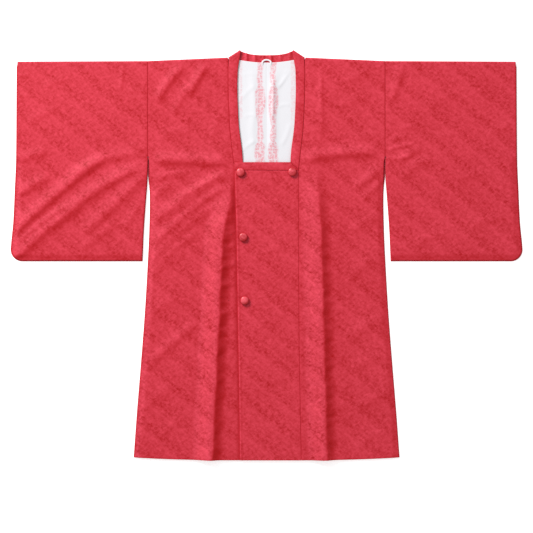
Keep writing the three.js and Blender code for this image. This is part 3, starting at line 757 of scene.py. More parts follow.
@dataclass(frozen=True)
class PaleFloor:
    """A light table's matt white sheet. It gives the eye a plain near-white ground with weak shadows."""

    name: str = "light_table_white"
    white: str = "#F8F8F8"
    dull: str = "#F5F5F5"
    glow: float = 0.5

    def build(self) -> bpy.types.Material:
        """Make the material: white with a slow noise of one part in a hundred.

        Returns:
            The material.
        """
        material, node = new_material(self.name)
        here = node("TexCoord", output="Object")
        slow = node("TexNoise", {"Vector": here, "Scale": 2.0})
        whites = {0: slow, 6: linear(self.dull), 7: linear(self.white)}
        finish = {
            "Base Color": node("Mix", whites, 2, data_type="RGBA"),
            "Roughness": 0.9,
            "Specular IOR Level": 0.1,
            "Emission Color": linear(self.white),
            "Emission Strength": self.glow,
        }
        return shade(material, finish)


@dataclass(frozen=True)
class CoatCut:
    """Sizes that several pieces share, and the lines between the pieces."""

    cloth: float = 1.8
    lining: float = 1.2
    seam_gap: float = 0.12
    front_lift: float = 4.0  # underside of the front above the floor
    seam_roll: float = 16.0  # width over which the front comes down to a side seam
    body_length: float = 998.0
    hem_lift: float = 7.0
    hem_half: float = 331.5
    armhole_out: float = 297.0
    neck_out: float = 97.0
    neck_rise: float = 10.3
    armhole_rise: float = 1.5
    sleeve_out: float = 626.0
    back_armhole_y: float = -292.0
    side_seam_y: float = -312.0
    side_rim: float = 1.5  # the back shows this much outside the front along the side
    neck_depth: float = 252.0
    back_neck_dip: float = 8.0
    back_neck_curve: float = 2.2  # power of the curve from the centre back to the shoulder
    top_strip: float = 20.5
    tuck: float = 4.0
    band_proud: float = 0.6
    hidden_edge: float = 6.0
    ramp_from: float = 190.0  # the left front rises onto the overlap between these depths
    ramp_to: float = 248.0
    ramp_level: float = 82.0  # and between these distances out
    ramp_floor: float = 132.0
    lined_out: tuple[float, float] = (96.0, 116.0)  # the lining holds the back level up to about here
    lined_y: tuple[float, float] = (-316.0, -296.0)
    lift_edge: tuple[float, float] = (6.0, 26.0)  # and its troughs die out this near to a seam

    @property
    def overlap_lift(self) -> float:
        """Underside of the overlap above the floor."""
        return self.front_lift + self.cloth + self.seam_gap

    @property
    def sewn_lift(self) -> float:
        """Underside of the front where it is sewn to the back."""
        return self.cloth + self.seam_gap

    @property
    def back_neck_top(self) -> float:
        """The y that the back neck's curve reaches at the shoulder, under the turn of the fold."""
        return self.neck_rise - (self.front_lift + self.cloth) / 2

    @property
    def shift(self) -> float:
        """What brings the design frame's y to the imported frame's, from where the hem lies there."""
        return self.body_length + float(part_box("front_panel_left")[0][1]) / MM

    def fold_y(self, x: Array) -> Array:
        """Work out the shoulder fold's y: straight slopes from the neck to the armhole and on to the cuff.

        Args:
            x: Places across.

        Returns:
            The fold's y at x.
        """
        out = np.abs(x)
        share = np.maximum(0, (out - self.neck_out) / (self.armhole_out - self.neck_out))
        inside = mix(self.neck_rise, self.armhole_rise, share)
        outside = self.armhole_rise * (1 - (out - self.armhole_out) / (self.sleeve_out - self.armhole_out))
        return np.where(out > self.armhole_out, outside, inside)

    def hem_y(self, x: Array) -> Array:
        """Return the hem's y, which rises with the cube of the distance out."""
        return self.hem_lift * (np.abs(x) / self.hem_half) ** 3 - self.body_length

    def below_armhole(self, y: Array) -> Array:
        """Return 0 beside the open armhole and 1 along the side seam, with a smooth step between."""
        return ease(self.back_armhole_y, self.side_seam_y, y)

    def overlap_rise(self, x: Array, y: Array) -> Array:
        """Return how far the left front rises onto the overlap: a smooth ramp down the neck and outwards."""
        climb = ease(self.ramp_from, self.ramp_to, -y) * (1 - ease(self.ramp_level, self.ramp_floor, x))
        return np.where(x < 0, 0, self.sewn_lift * climb)

    def back_lift(self, x: Array, y: Array, inside: Array) -> Array:
        """Work out the troughs of the back, which die out at the seams and where the lining lies on it.

        Args:
            x: Places across.
            y: Places along.
            inside: Distance from the piece's nearest seam or edge.

        Returns:
            Height of the back above the floor.
        """
        lined = (1 - ease(*self.lined_out, np.abs(x))) * ease(*self.lined_y, y)
        return crease_height(BACK_CREASES, x, y) * ease(*self.lift_edge, inside) * (1 - lined)


CUT = CoatCut()


@dataclass
class Wall:
    """A closed wall of cloth on a grid of rows and columns: its middle surface, and what grows out of it.

    Args:
        middle: Rows by columns by 3, in millimetres.
        outward: Unit vectors to the outer face.
        flat: Rows by columns by 2, where each point lies on the flat cloth.
        edge: Distance of each point from the nearest edge of the piece.
        thick: Thickness of the wall.
        tone: What the finish reads at each point: its share of painted shade on the silk, and of the print on
            the lining.
        dip: How far the outer face sinks, as beside a seam.
        reach: Width of the rounded border.
        press: Share of painted shade, the rim's deeper red, at its edges.
    """

    middle: Array
    outward: Array
    flat: Array
    edge: Array
    thick: float = CUT.cloth
    tone: Array | float = 0.0
    dip: Array | float = 0.0
    reach: float = 1.4
    press: float = EDGE_SHADE
    round_depth: float = 0.38  # how far each face draws in at an edge, as a share of the thickness

    def faces(self) -> tuple[Array, Array]:
        """Work out the two faces: half the thickness off the middle, less a quarter ellipse near the edges.

        Returns:
            The inner and the outer face.
        """
        half = self.thick / 2 - rounded_edge(self.edge, self.reach, self.round_depth * self.thick)
        inner = self.middle - self.outward * half[..., None]
        outer = self.middle + self.outward * (half - self.dip)[..., None]
        return inner, outer


class Layer(NamedTuple):
    """The back or the front of a folded length of cloth, as grids of rows by columns."""

    x: Array
    y: Array
    under: Array  # height of its underside
    edge: Array  # distance from the nearest edge
    lip: Array  # share of painted shade, the rim's deeper red
    dip: Array  # how far its outer face sinks


def build_mesh(
    name: str, points: Array, quads: Array, flat: Array, tone: Array | float = 0.0
) -> bpy.types.Object:
    """Put a mesh of quads into the scene, facing outwards.

    The mesh is turned over if the sum of its corners' triple products, which is six times its volume, is
    negative.

    Args:
        name: The piece's name.
        points: Corners in millimetres, in the design frame.
        quads: Four corner numbers for each face.
        flat: Each corner's place on the flat cloth, in millimetres.
        tone: What the finish reads at each corner.

    Returns:
        The object, at the origin.
    """
    a, b, c, d = (points[quads[:, i]] for i in range(4))
    volume = (a * np.cross(b, c)).sum() + (a * np.cross(c, d)).sum()
    if volume < 0:
        quads = quads[:, ::-1]
    mesh = bpy.data.meshes.new(name)
    mesh.vertices.add(len(points))
    mesh.vertices.foreach_set("co", ((points + [0, CUT.shift, 0]) * MM).astype(np.float32).ravel())
    mesh.loops.add(quads.size)
    mesh.loops.foreach_set("vertex_index", np.ascontiguousarray(quads, np.int32).ravel())
    mesh.polygons.add(len(quads))
    mesh.polygons.foreach_set("loop_start", np.arange(0, quads.size, 4, dtype=np.int32))
    mesh.polygons.foreach_set("use_smooth", np.ones(len(quads), bool))
    mesh.update(calc_edges=True)
    cloth = mesh.uv_layers.new(name=CLOTH_MAP)
    cloth.data.foreach_set("uv", (flat[quads.ravel()] * MM).astype(np.float32).ravel())
    tones = mesh.attributes.new(TONE, "FLOAT", "POINT")
    tones.data.foreach_set("value", np.full(len(points), tone, np.float32))
    mesh.validate()
    piece = bpy.data.objects.new(name, mesh)
    bpy.context.scene.collection.objects.link(piece)
    return piece


def build_wall(name: str, wall: Wall) -> bpy.types.Object:
    """Close a wall's two faces along its four sides and make it a mesh.

    Args:
        name: The piece's name.
        wall: The wall.

    Returns:
        The object.
    """
    faces = wall.faces()
    grid = faces[0].shape[:2]
    inner, outer = np.arange(2 * grid[0] * grid[1]).reshape(2, *grid)

    def ribbon(one: Array, other: Array) -> Array:
        """Return the quads between two lines of corner numbers."""
        return np.stack([one[:-1], other[:-1], other[1:], one[1:]], axis=-1).reshape(-1, 4)

    quads = np.concatenate(
        [
            ribbon(outer[:, :-1], outer[:, 1:]),
            ribbon(inner[:, 1:], inner[:, :-1]),
            ribbon(inner[:, 0], outer[:, 0]),
            ribbon(outer[:, -1], inner[:, -1]),
            ribbon(outer[0], inner[0]),
            ribbon(inner[-1], outer[-1]),
        ]
    )
    flat = np.concatenate([wall.flat.reshape(-1, 2)] * 2)
    tone = np.concatenate([np.broadcast_to(wall.tone, grid).ravel()] * 2)
    return build_mesh(name, np.concatenate([face.reshape(-1, 3) for face in faces]), quads, flat, tone)


def dress(piece: bpy.types.Object, node: str, material: bpy.types.Material) -> bpy.types.Object:
    """Give a piece its material, and let it stand for its solid.

    Args:
        piece: The piece.
        node: The solid's name.
        material: The finish.

    Returns:
        The piece.
    """
    piece.data.materials.append(material)
    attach(piece, "root")
    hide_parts(node)
    LOG.info("%s: %d faces", piece.name, len(piece.data.polygons))
    return piece


def lay_sheet(
    node: str, wall: Wall, slot: Slot, material: bpy.types.Material
) -> bpy.types.Object:
    """Build and dress one laid sheet of cloth. Silk is deeper red along its edges, as painted shade.

    Args:
        node: The solid that it stands for.
        wall: Its wall.
        slot: Its kind of material, which decides the painted edge shade.
        material: The finish.

    Returns:
        The piece.
    """
    # Painted shade: silk gets the rim's deeper red along its edges
    if slot is Slot.SILK:
        wall.tone = np.maximum(wall.tone, wall.press * bell(wall.edge, EDGE_WIDTH))
    piece = dress(build_wall(f"{node}_cloth", wall), node, material)
    return piece


def upwards(middle: Array) -> Array:
    """Return unit vectors straight up, one for each point."""
    return np.zeros_like(middle) + [0, 0, 1]


def folded_wall(back: Layer, front: Layer, fold_x: Array, under: Array, lay: tuple[float, float]) -> Wall:
    """Carry a length of cloth along the floor, over the shoulder fold and back on top.

    The fold is a half circle between the back's level and the front's. On the flat cloth the front keeps
    its y, and the back lies mirrored in the fold line.

    Args:
        back: The layer on the floor, from the foot up.
        front: The layer on top, from the fold down.
        fold_x: x along the fold.
        under: Height of the front's underside there.
        lay: Where the piece was cut from the patterned cloth.

    Returns:
        The wall.
    """
    half = CUT.cloth / 2
    angles = np.linspace(-np.pi / 2, np.pi / 2, FOLD_STEPS)[:, None]
    fold = CUT.fold_y(fold_x)
    level = (under + CUT.cloth) / 2
    radius = (under - CUT.cloth) / 2 + half
    turn_y = fold - level + radius * np.cos(angles)
    turn_z = level + radius * np.sin(angles)
    turn_x = np.broadcast_to(fold_x, turn_y.shape)
    turn_edge = np.minimum(np.abs(turn_x - fold_x[0]), np.abs(turn_x - fold_x[-1]))
    plain = np.zeros(turn_y.shape)
    middle = joined(
        np.stack([back.x, back.y, back.under + half], axis=-1),
        np.stack([turn_x, turn_y, turn_z], axis=-1),
        np.stack([front.x, front.y, front.under + half], axis=-1),
    )
    outward = upwards(middle)
    turned = slice(len(back.x), len(back.x) + FOLD_STEPS)
    outward[: turned.start, :, 2] = -1
    outward[turned, :, 1] = np.cos(angles)
    outward[turned, :, 2] = np.sin(angles)
    flat_y = joined(2 * CUT.fold_y(back.x) - back.y, fold - level * np.sin(angles), front.y)
    flat = np.stack([middle[..., 0], flat_y], axis=-1) + lay
    edge = joined(back.edge, turn_edge, front.edge)
    lip, dip = joined(back.lip, plain, front.lip), joined(back.dip, plain, front.dip)
    return Wall(middle, outward, flat, edge, tone=lip, dip=dip)


def joined(*parts: Array) -> Array:
    """Return grids joined one below the other."""
    return np.concatenate(parts, axis=0)


@dataclass
class BodyHalf:
    """One half of the body: back and front in one length of cloth, folded at the shoulder."""

    side: Side
    silk: bpy.types.Material
    lay: tuple[float, float]  # where it was cut from the patterned cloth
    columns: int = 92
    front_rows: int = 232
    back_rows: int = 52
    neck_rows: int = 22  # along the curve of the back neck
    lit: float = 52.0  # width of a large fold's lit side
    steep: float = 30.0  # and of its steep side
    crisp: float = 0.64  # how early the steep side drops: 1 is even, less is nearer the crest
    tail: float = 80.0  # and of the low tail beyond it
    tail_share: float = 0.17
    wander: tuple[tuple[float, float], ...] = ((1.3, 143), (0.9, 41))  # wander of a crest, over what length
    wander_y: tuple[float, float] = (-260.0, -420.0)  # it begins between these
    seam_dip: float = 0.22
    seam_width: float = 3.2
    pucker_length: float = 37.0
    steep_change: tuple[float, float] = (0.95, 0.12)  # mean share of the steep side's width, and its change
    steep_length: float = 67.0
    groove: float = 1.1  # depth of the hollow along the overlap's free edge
    groove_width: float = 2.4
    groove_foot: float = -340.0  # it is full from here on
    groove_shade: float = 0.95  # share of painted shade, the rim's deeper red, in it
    groove_beside: float = 1.2  # its middle lies this far off the edge

    @property
    def sign(self) -> int:
        """The sign of x on this side."""
        return self.side.value

    def side_y(self, share: Array) -> Array:
        """Return y at the side, share of the way from the fold to the hem."""
        return mix(CUT.armhole_rise, CUT.hem_lift - CUT.body_length, share)

    def neck_y(self, share: Array) -> Array:
        """Return y at the neck, share of the way from the fold to the hem."""
        return mix(CUT.neck_rise, -CUT.body_length, share)

    def large_fold(self, x: Array, y: Array) -> Array:
        """Work out the large fold's height.

        It is the rise times a smooth step up over the lit side and a smooth step of a root down over the
        other, so that it drops most just past the crest, with a little of the drop left to a long tail. The
        crest wanders a little, as pressed silk does.

        Args:
            x: Places across.
            y: Places along.

        Returns:
            Heights.
        """
        table = LARGE_FOLDS[self.side]
        wander = sum(reach * uneven(y, length, self.sign) for reach, length in self.wander)
        strayed = wander * ease(*self.wander_y, y)
        mean, change = self.steep_change
        steep = self.steep * (mean + change * uneven(y, self.steep_length, 2.0 * self.sign))
        crisper = 0.5 if self.side is Side.RIGHT else 2.5  # the crest runs this much left of the solid's
        away = x - read_table(table, "crest", y) - strayed + crisper
        up = 1 - ease(0, self.lit, -away)
        past = np.clip(away / steep, 0, 1) ** self.crisp
        down = 1 - mix(ease(0, 1, past), ease(0, self.tail, away), self.tail_share)
        return read_table(table, "rise", y) * np.where(away < 0, up, down)

    def front_under(self, x: Array, y: Array) -> Array:
        """Work out the underside of the front.

        It comes down onto the back over the last millimetres before the side seam, rises onto the overlap
        beside the neck, carries the large fold and the creases, and is flat where the overlap covers it.

        Args:
            x: Places across.
            y: Places along.

        Returns:
            Heights above the floor.
        """
        sewn = CUT.below_armhole(y)
        rolled = ease(0, CUT.seam_roll, read_table(SIDE_EDGE, "out", y) - np.abs(x))
        rest = mix(CUT.front_lift, CUT.sewn_lift, sewn * (1 - rolled))
        loose = mix(1, rolled, sewn)
        hidden = (x < 0) & (y < -CUT.neck_depth)
        free = np.where(hidden, ease(0, 2 * CUT.hidden_edge, read_table(OVERLAP_EDGE, "left", y) - x), 1)
        relief = self.large_fold(x, y) + crease_height(BODY_CREASES[self.side], x, y)
        return rest + CUT.overlap_rise(x, y) + relief * loose * free

    def front_inner(self, y: Array) -> Array:
        """Work out the front's inner edge, which lies beside the neckband and then at the overlap's seam.

        Args:
            y: Places along.

        Returns:
            Distances out from the centre.
        """
        neck = read_table(NECK_EDGE, "seam", y) + CUT.seam_gap
        if self.side is Side.RIGHT:
            end = CUT.neck_depth + CUT.tuck + CUT.seam_gap
            below = -read_table(OVERLAP_EDGE, "left", y) - CUT.hidden_edge
        else:
            end = CUT.neck_depth + CUT.top_strip
            below = read_table(OVERLAP_EDGE, "seam", y) + CUT.seam_gap
        return np.where(y > -end, neck, below)

    def front(self, across: Array) -> Layer:
        """Lay out the front, from the fold down to the hem.

        Args:
            across: Shares of the way from the side to the inner edge.

        Returns:
            The layer.
        """
        tucked = -CUT.neck_depth - CUT.tuck
        at_tuck = (CUT.neck_rise - np.array([tucked, tucked - 1])) / (CUT.neck_rise + CUT.body_length)
        even = np.linspace(0.006, 0.9986, self.front_rows)
        share = np.sort(np.concatenate([even, at_tuck, 1 - HEM_STEPS / CUT.body_length]))[:, None]
        side = read_table(SIDE_EDGE, "out", self.side_y(share))
        inner = self.front_inner(self.neck_y(share))
        out = mix(side, inner, across)
        x = self.sign * out
        y = mix(CUT.fold_y(out), CUT.hem_y(out), share)
        seam = np.minimum(side - out, out - inner)
        # Painted shade: the rim's deeper red along the side seam
        lip = CUT.below_armhole(y) * (1 - ease(0.2, 1.6, side - out))
        dip = self.seam_dip * bell(seam, self.seam_width) * pucker(y, self.pucker_length, self.sign)
        if self.side is Side.RIGHT:
            beside = read_table(OVERLAP_EDGE, "left", y) - x - self.groove_beside
            hollow = self.groove * bell(beside, self.groove_width)
            dip = dip + hollow * ease(-CUT.neck_depth, self.groove_foot, y)
            # Painted shade: the rim's deeper red where the front runs under the overlap's edge
            deep = self.groove_shade * bell(beside, 2.0) * ease(-CUT.neck_depth, -CUT.neck_depth - 20, y)
            lip = np.maximum(lip, deep)
        return Layer(x, y, self.front_under(x, y), np.minimum(seam, y - CUT.hem_y(out)), lip, dip)

    def back(self, across: Array) -> Layer:
        """Lay out the back, from the hem up to the curve of the neck.

        Args:
            across: Shares of the way from the side to the centre back or the neck's curve.

        Returns:
            The layer.
        """
        low, top = -CUT.back_neck_dip - CUT.seam_gap, CUT.back_neck_top
        curve = mix(low, top, np.linspace(0, 0.985, self.neck_rows) ** CUT.back_neck_curve)
        straight = np.linspace(CUT.body_length, -low + 3, self.back_rows)
        depth = np.sort(np.concatenate([straight, CUT.body_length - HEM_STEPS[:-1], -curve]))[::-1, None]
        share = (CUT.neck_rise + depth) / (CUT.neck_rise + CUT.body_length)
        side_y = self.side_y(share)
        rim = read_table(SIDE_EDGE, "out", side_y) + CUT.side_rim
        outer = mix(CUT.armhole_out - CUT.seam_gap / 2, rim, CUT.below_armhole(side_y))
        climb = np.clip((-depth - low) / (top - low), 0, 1)
        inner = np.maximum(CUT.seam_gap / 2, CUT.neck_out * climb ** (1 / CUT.back_neck_curve))
        out = mix(outer, inner, across)
        x = self.sign * out
        y = mix(CUT.fold_y(out), CUT.hem_y(out), share)
        seam = np.minimum(outer - out, out - inner)
        # Painted shade: the rim's deeper red where the back shows beside the front's edge
        lip = CUT.below_armhole(side_y) * (1 - ease(2, 5, outer - out))
        edge = np.minimum(seam, y - CUT.hem_y(out))
        return Layer(x, y, CUT.back_lift(x, y, seam), edge, lip, 0.25 * bell(seam, 3.0))

    def build(self) -> bpy.types.Object:
        """Returns:
            The piece.
        """
        across = spaced(self.columns, CUT.armhole_out - CUT.neck_out)
        fold_x = self.sign * mix(CUT.armhole_out - CUT.seam_gap / 2, CUT.neck_out, across)
        under = self.front_under(fold_x, CUT.fold_y(fold_x))
        wall = folded_wall(self.back(across), self.front(across), fold_x, under, self.lay)
        return lay_sheet(f"body_{self.side.word}", wall, Slot.SILK, self.silk)


@dataclass
class Sleeve:
    """A sleeve: one length of cloth folded at the top, sewn at the bottom and below the cuff opening."""

    side: Side
    silk: bpy.types.Material
    lay: tuple[float, float]
    columns: int = 104
    front_rows: int = 138
    back_rows: int = 30
    corner_turns: int = 16
    length: float = 500.0
    cuff_opening: float = 235.0
    cuff_ease: float = 25.0
    corner: float = 28.0  # radius of the rounded outer corner
    rim: float = 2.5  # the back shows this much outside the front
    back_lip: float = 4.5  # width of the painted shade, the rim's deeper red, on the back
    front_lip: float = 1.8  # and on the front
    seam_dip: float = 0.3
    seam_width: float = 3.2
    pucker_length: float = 41.0

    def outer(self, y: Array, rim: float) -> Array:
        """Work out how far out the sleeve reaches: its table, less the round of the corner, a circle's.

        Args:
            y: Places along.
            rim: What the layer shows outside the front.

        Returns:
            Distances out from the centre.
        """
        radius = self.corner + rim
        centre = self.rim - rim - self.length + radius
        below = np.clip(centre - y, 0, radius)
        return read_table(SLEEVE_OUTER, "out", y) - self.rim + rim - radius + np.sqrt(radius**2 - below**2)

    def edge_distance(self, out: Array, y: Array, inner: Array | float, rim: float) -> Array:
        """Work out how far a place lies inside the sleeve's edges.

        Args:
            out: Distance from the centre back.
            y: Places along.
            inner: The sleeve's inner edge at y.
            rim: What the layer shows outside the front.

        Returns:
            The least of the distances to the inner, outer and bottom edges and to the corner's arc.
        """
        radius = self.corner + rim
        straight = read_table(SLEEVE_OUTER, "out", y) - self.rim + rim
        foot = self.rim - rim - self.length
        down = np.maximum(0, foot + radius - y)
        along = np.maximum(0, out - (straight - radius))
        arc = radius - np.hypot(down, along)
        in_corner = (down > 0) & (along > 0)
        outside = np.where(in_corner, arc, np.minimum(straight - out, y - foot))
        return np.maximum(0, np.minimum(outside, out - inner))

    def front_under(self, x: Array, y: Array) -> Array:
        """Work out the front's underside, which comes down to the bottom seam and to that below the cuff.

        Args:
            x: Places across.
            y: Places along.

        Returns:
            Heights above the floor.
        """
        from_outer = read_table(SLEEVE_OUTER, "out", y) - self.rim - np.abs(x)
        from_foot = y + self.length - self.rim
        closed = ease(self.cuff_opening, self.cuff_opening + self.cuff_ease, -y)
        near_outer, near_foot = (1 - ease(0, CUT.seam_roll, inside) for inside in (from_outer, from_foot))
        sewn = np.maximum(closed * near_outer, near_foot)
        return mix(CUT.front_lift, CUT.sewn_lift, sewn) + crease_height(SLEEVE_CREASES, x, y) * (1 - sewn)

    def places(self, rows_y: Array, rim: float, inner: Array, across: Array) -> tuple[Array, Array, Array]:
        """Work out places along rows of the sleeve.

        Args:
            rows_y: The rows' heights, one to a row.
            rim: What the layer shows outside the front.
            inner: The inner edge at these heights.
            across: Shares of the way to the outer edge.

        Returns:
            x and y of the places, and their distance from the edges.
        """
        out = mix(inner, self.outer(rows_y, rim), across)
        y = rows_y + CUT.fold_y(out) * (1 + rows_y / self.length)
        return self.side.value * out, y, self.edge_distance(out, rows_y + 0 * out, inner, rim)

    def corner_rows(self, rim: float) -> Array:
        """Return the rows round the corner, closer towards the foot as a quarter circle's steps are."""
        turns = np.linspace(0, np.pi / 2, self.corner_turns)
        return self.rim - rim - self.length + (self.corner + rim) * (1 - np.sin(turns))

    def lip(self, x: Array, rows_y: Array, rim: float, width: float) -> Array:
        """Return each place's share of painted shade, the rim's deeper red, along the outer and bottom edges.
        """
        out = np.abs(x)
        return 1 - ease(width * 0.5, width, self.edge_distance(out, rows_y + 0 * out, -np.inf, rim))

    def front(self, across: Array) -> Layer:
        """Lay out the front, from the fold down to the foot.

        Args:
            across: Shares of the way from the armhole to the cuff.

        Returns:
            The layer.
        """
        straight = np.linspace(-6, -self.length + self.corner + 4, self.front_rows)
        rows_y = np.concatenate([straight, self.corner_rows(0)])[:, None]
        inner = read_table(SLEEVE_INNER, "out", rows_y)
        x, y, edge = self.places(rows_y, 0, inner, across)
        beside = bell(np.abs(x) - inner, self.seam_width)
        dip = self.seam_dip * beside * pucker(y, self.pucker_length, 2.0 * self.side.value)
        return Layer(x, y, self.front_under(x, y), edge, self.lip(x, rows_y, 0, self.front_lip), dip)

    def back(self, across: Array) -> Layer:
        """Lay out the back, from the foot up to the fold.

        Args:
            across: Shares of the way from the armhole to the cuff.

        Returns:
            The layer.
        """
        straight = np.linspace(-self.length + self.corner + 8, -14, self.back_rows)
        rows_y = np.concatenate([self.corner_rows(self.rim)[::-1], straight])[:, None]
        open_inner = read_table(SLEEVE_INNER, "out", rows_y) - CUT.side_rim
        sewn_inner = CUT.armhole_out + CUT.seam_gap / 2
        inner = np.where(rows_y > CUT.back_armhole_y, sewn_inner, open_inner)
        x, y, edge = self.places(rows_y, self.rim, inner, across)
        lip = self.lip(x, rows_y, self.rim, self.back_lip)
        return Layer(x, y, CUT.back_lift(x, y, edge), edge, lip, 0 * x)

    def build(self) -> bpy.types.Object:
        """Returns:
            The piece.
        """
        across = spaced(self.columns, CUT.sleeve_out - CUT.armhole_out)
        cuff = self.outer(np.zeros(1), 0)
        fold_x = self.side.value * mix(CUT.armhole_out + CUT.seam_gap / 2, cuff, across)
        under = self.front_under(fold_x, CUT.fold_y(fold_x))
        wall = folded_wall(self.back(across), self.front(across), fold_x, under, self.lay)
        return lay_sheet(f"sleeve_{self.side.word}", wall, Slot.SILK, self.silk)


@dataclass
class FlatPanel:
    """A piece that lies level: the overlap, the panel under it, the top strip and the lining halves."""

    node: str
    slot: Slot
    finish: bpy.types.Material
    rests_on: str
    lay: tuple[float, float] = (0.0, 0.0)
    thick: float = CUT.cloth

    def wall(self, x: Array, y: Array, under: Array, dip: Array | float = 0.0) -> Wall:
        """Lay out the wall over a grid of places.

        Args:
            x: Places across, rows by columns.
            y: Places along.
            under: Height of the underside.
            dip: How far the upper face sinks.

        Returns:
            The wall.
        """
        middle = np.stack([x, y, under + self.thick / 2], axis=-1)
        flat = middle[..., :2] + self.lay
        across = np.minimum(np.abs(x - x[:, :1]), np.abs(x - x[:, -1:]))
        along = np.minimum(np.abs(y - y[:1]), np.abs(y - y[-1:]))
        return Wall(middle, upwards(middle), flat, np.minimum(across, along), self.thick, dip=dip)

    def build(self, wall: Wall) -> bpy.types.Object:
        return lay_sheet(self.node, wall, self.slot, self.finish)


@dataclass
class FrontPanels:
    """The left front's overlap, the right front's panel under it, and the strip along the overlap's top."""

    silk: bpy.types.Material
    under_panel_out: float = 76.0
    pressed: float = 0.7  # the roll of the pressed free edge stands this high
    pressed_in: float = 2.8  # and this far in from the edge
    pressed_width: float = 2.2
    wave: float = 0.12  # height of the overlap's slow waves
    wave_length: float = 118.0
    seam_dip: float = 0.16
    seam_width: float = 4.5
    button_dip: float = 0.45  # how far a button pulls the cloth in
    button_reach: float = 15.0
    button_shade: float = 0.6  # share of painted shade, the rim's deeper red, under a button
    button_rim: tuple[float, float] = (13.5, 10.5)  # where that begins and is full, from the button's middle
    press: float = 0.12  # share of the painted shade's deeper red along the overlap's free edge
    crown: float = 0.5  # height of the top strip's crown

    def row_heights(self, top: float, foot: float, count: int) -> Array:
        """Return the heights of a panel's rows, closer at its two ends."""
        return mix(top, foot, spaced(count, top - foot))[:, None]

    def overlap(self) -> bpy.types.Object:
        """Build the overlap: level, with a roll along its free edge and a soft dip beside its seam.

        Returns:
            The piece.
        """
        y = self.row_heights(-CUT.neck_depth - CUT.top_strip - CUT.seam_gap, -CUT.body_length, 186)
        left, seam = (read_table(OVERLAP_EDGE, name, y) for name in ("left", "seam"))
        x = mix(left, seam, spaced(64, 155))
        y = y + 0 * x
        from_buttons = [np.hypot(x - button.x, y - button.y) for button in BUTTON_PLACES]
        roll = self.pressed * bell(x - left - self.pressed_in, self.pressed_width) * (1 + 0.2 * uneven(y, 83))
        pulled = sum(self.button_dip * bell(distance, self.button_reach) for distance in from_buttons)
        waves = self.wave * (1 + uneven(x + 0.6 * y, self.wave_length))
        dip = self.seam_dip * bell(seam - x, self.seam_width) * pucker(y, 47, spread=0.3) + pulled - roll
        panel = FlatPanel("front_panel_left", Slot.SILK, self.silk, "front_panel_right_cloth", (23, 11))
        wall = panel.wall(x, y, CUT.overlap_lift + crease_height(OVERLAP_CREASES, x, y) + waves, dip)
        wall.press = self.press
        # Painted shade: the rim's deeper red round each button
        wall.tone = sum(self.button_shade * ease(*self.button_rim, distance) for distance in from_buttons)
        return panel.build(wall)

    def under_panel(self) -> bpy.types.Object:
        """Build the panel under the overlap, level and plain.

        Returns:
            The piece.
        """
        y = self.row_heights(-CUT.neck_depth - CUT.tuck - 2 * CUT.seam_gap, -CUT.body_length, 60)
        inner = read_table(OVERLAP_EDGE, "left", y) + CUT.hidden_edge + CUT.seam_gap
        x = mix(inner, self.under_panel_out, spaced(24, 145))
        panel = FlatPanel("front_panel_right", Slot.SILK, self.silk, "floor", (-31, 5))
        return panel.build(panel.wall(x, y + 0 * x, CUT.front_lift + 0 * x))

    def top_strip(self) -> bpy.types.Object:
        """Build the strip along the overlap's top: a low crown, mitred to the neckband on the right.

        Returns:
            The piece.
        """
        top, foot = -CUT.neck_depth - CUT.seam_gap, -CUT.neck_depth - CUT.top_strip
        y = self.row_heights(top, foot, 14)
        free = float(read_table(NECK_EDGE, "free", np.array(-CUT.neck_depth))) - 2 * CUT.seam_gap
        sewn = float(read_table(NECK_EDGE, "seam", np.array(foot))) - 2 * CUT.seam_gap
        left = float(read_table(OVERLAP_EDGE, "left", np.array(-CUT.neck_depth)))
        down = (top - y) / (top - foot)
        x = mix(left, mix(free, sewn, down), spaced(64, 140))
        y = y + 0 * x
        crown = self.crown * np.sin(np.pi * np.clip(down, 0, 1)) ** 0.7
        gathered = 0.1 * uneven(x, 33) * ease(0, 8, top - y)
        panel = FlatPanel("neckband_front", Slot.SILK, self.silk, "front_panel_right_cloth", (9, 40))
        wall = panel.wall(x, y, CUT.overlap_lift + CUT.band_proud + 0 * x, -crown - gathered)
        mitred = np.minimum(1.2, top - y + 0.3)  # the edge stays full where it meets the neckband
        wall.edge = np.where(x > 0, np.maximum(wall.edge, mitred), wall.edge)
        return panel.build(wall)

    def build(self) -> None:
        """Build the three pieces, the lowest first."""
        self.under_panel()
        self.overlap()
        self.top_strip()


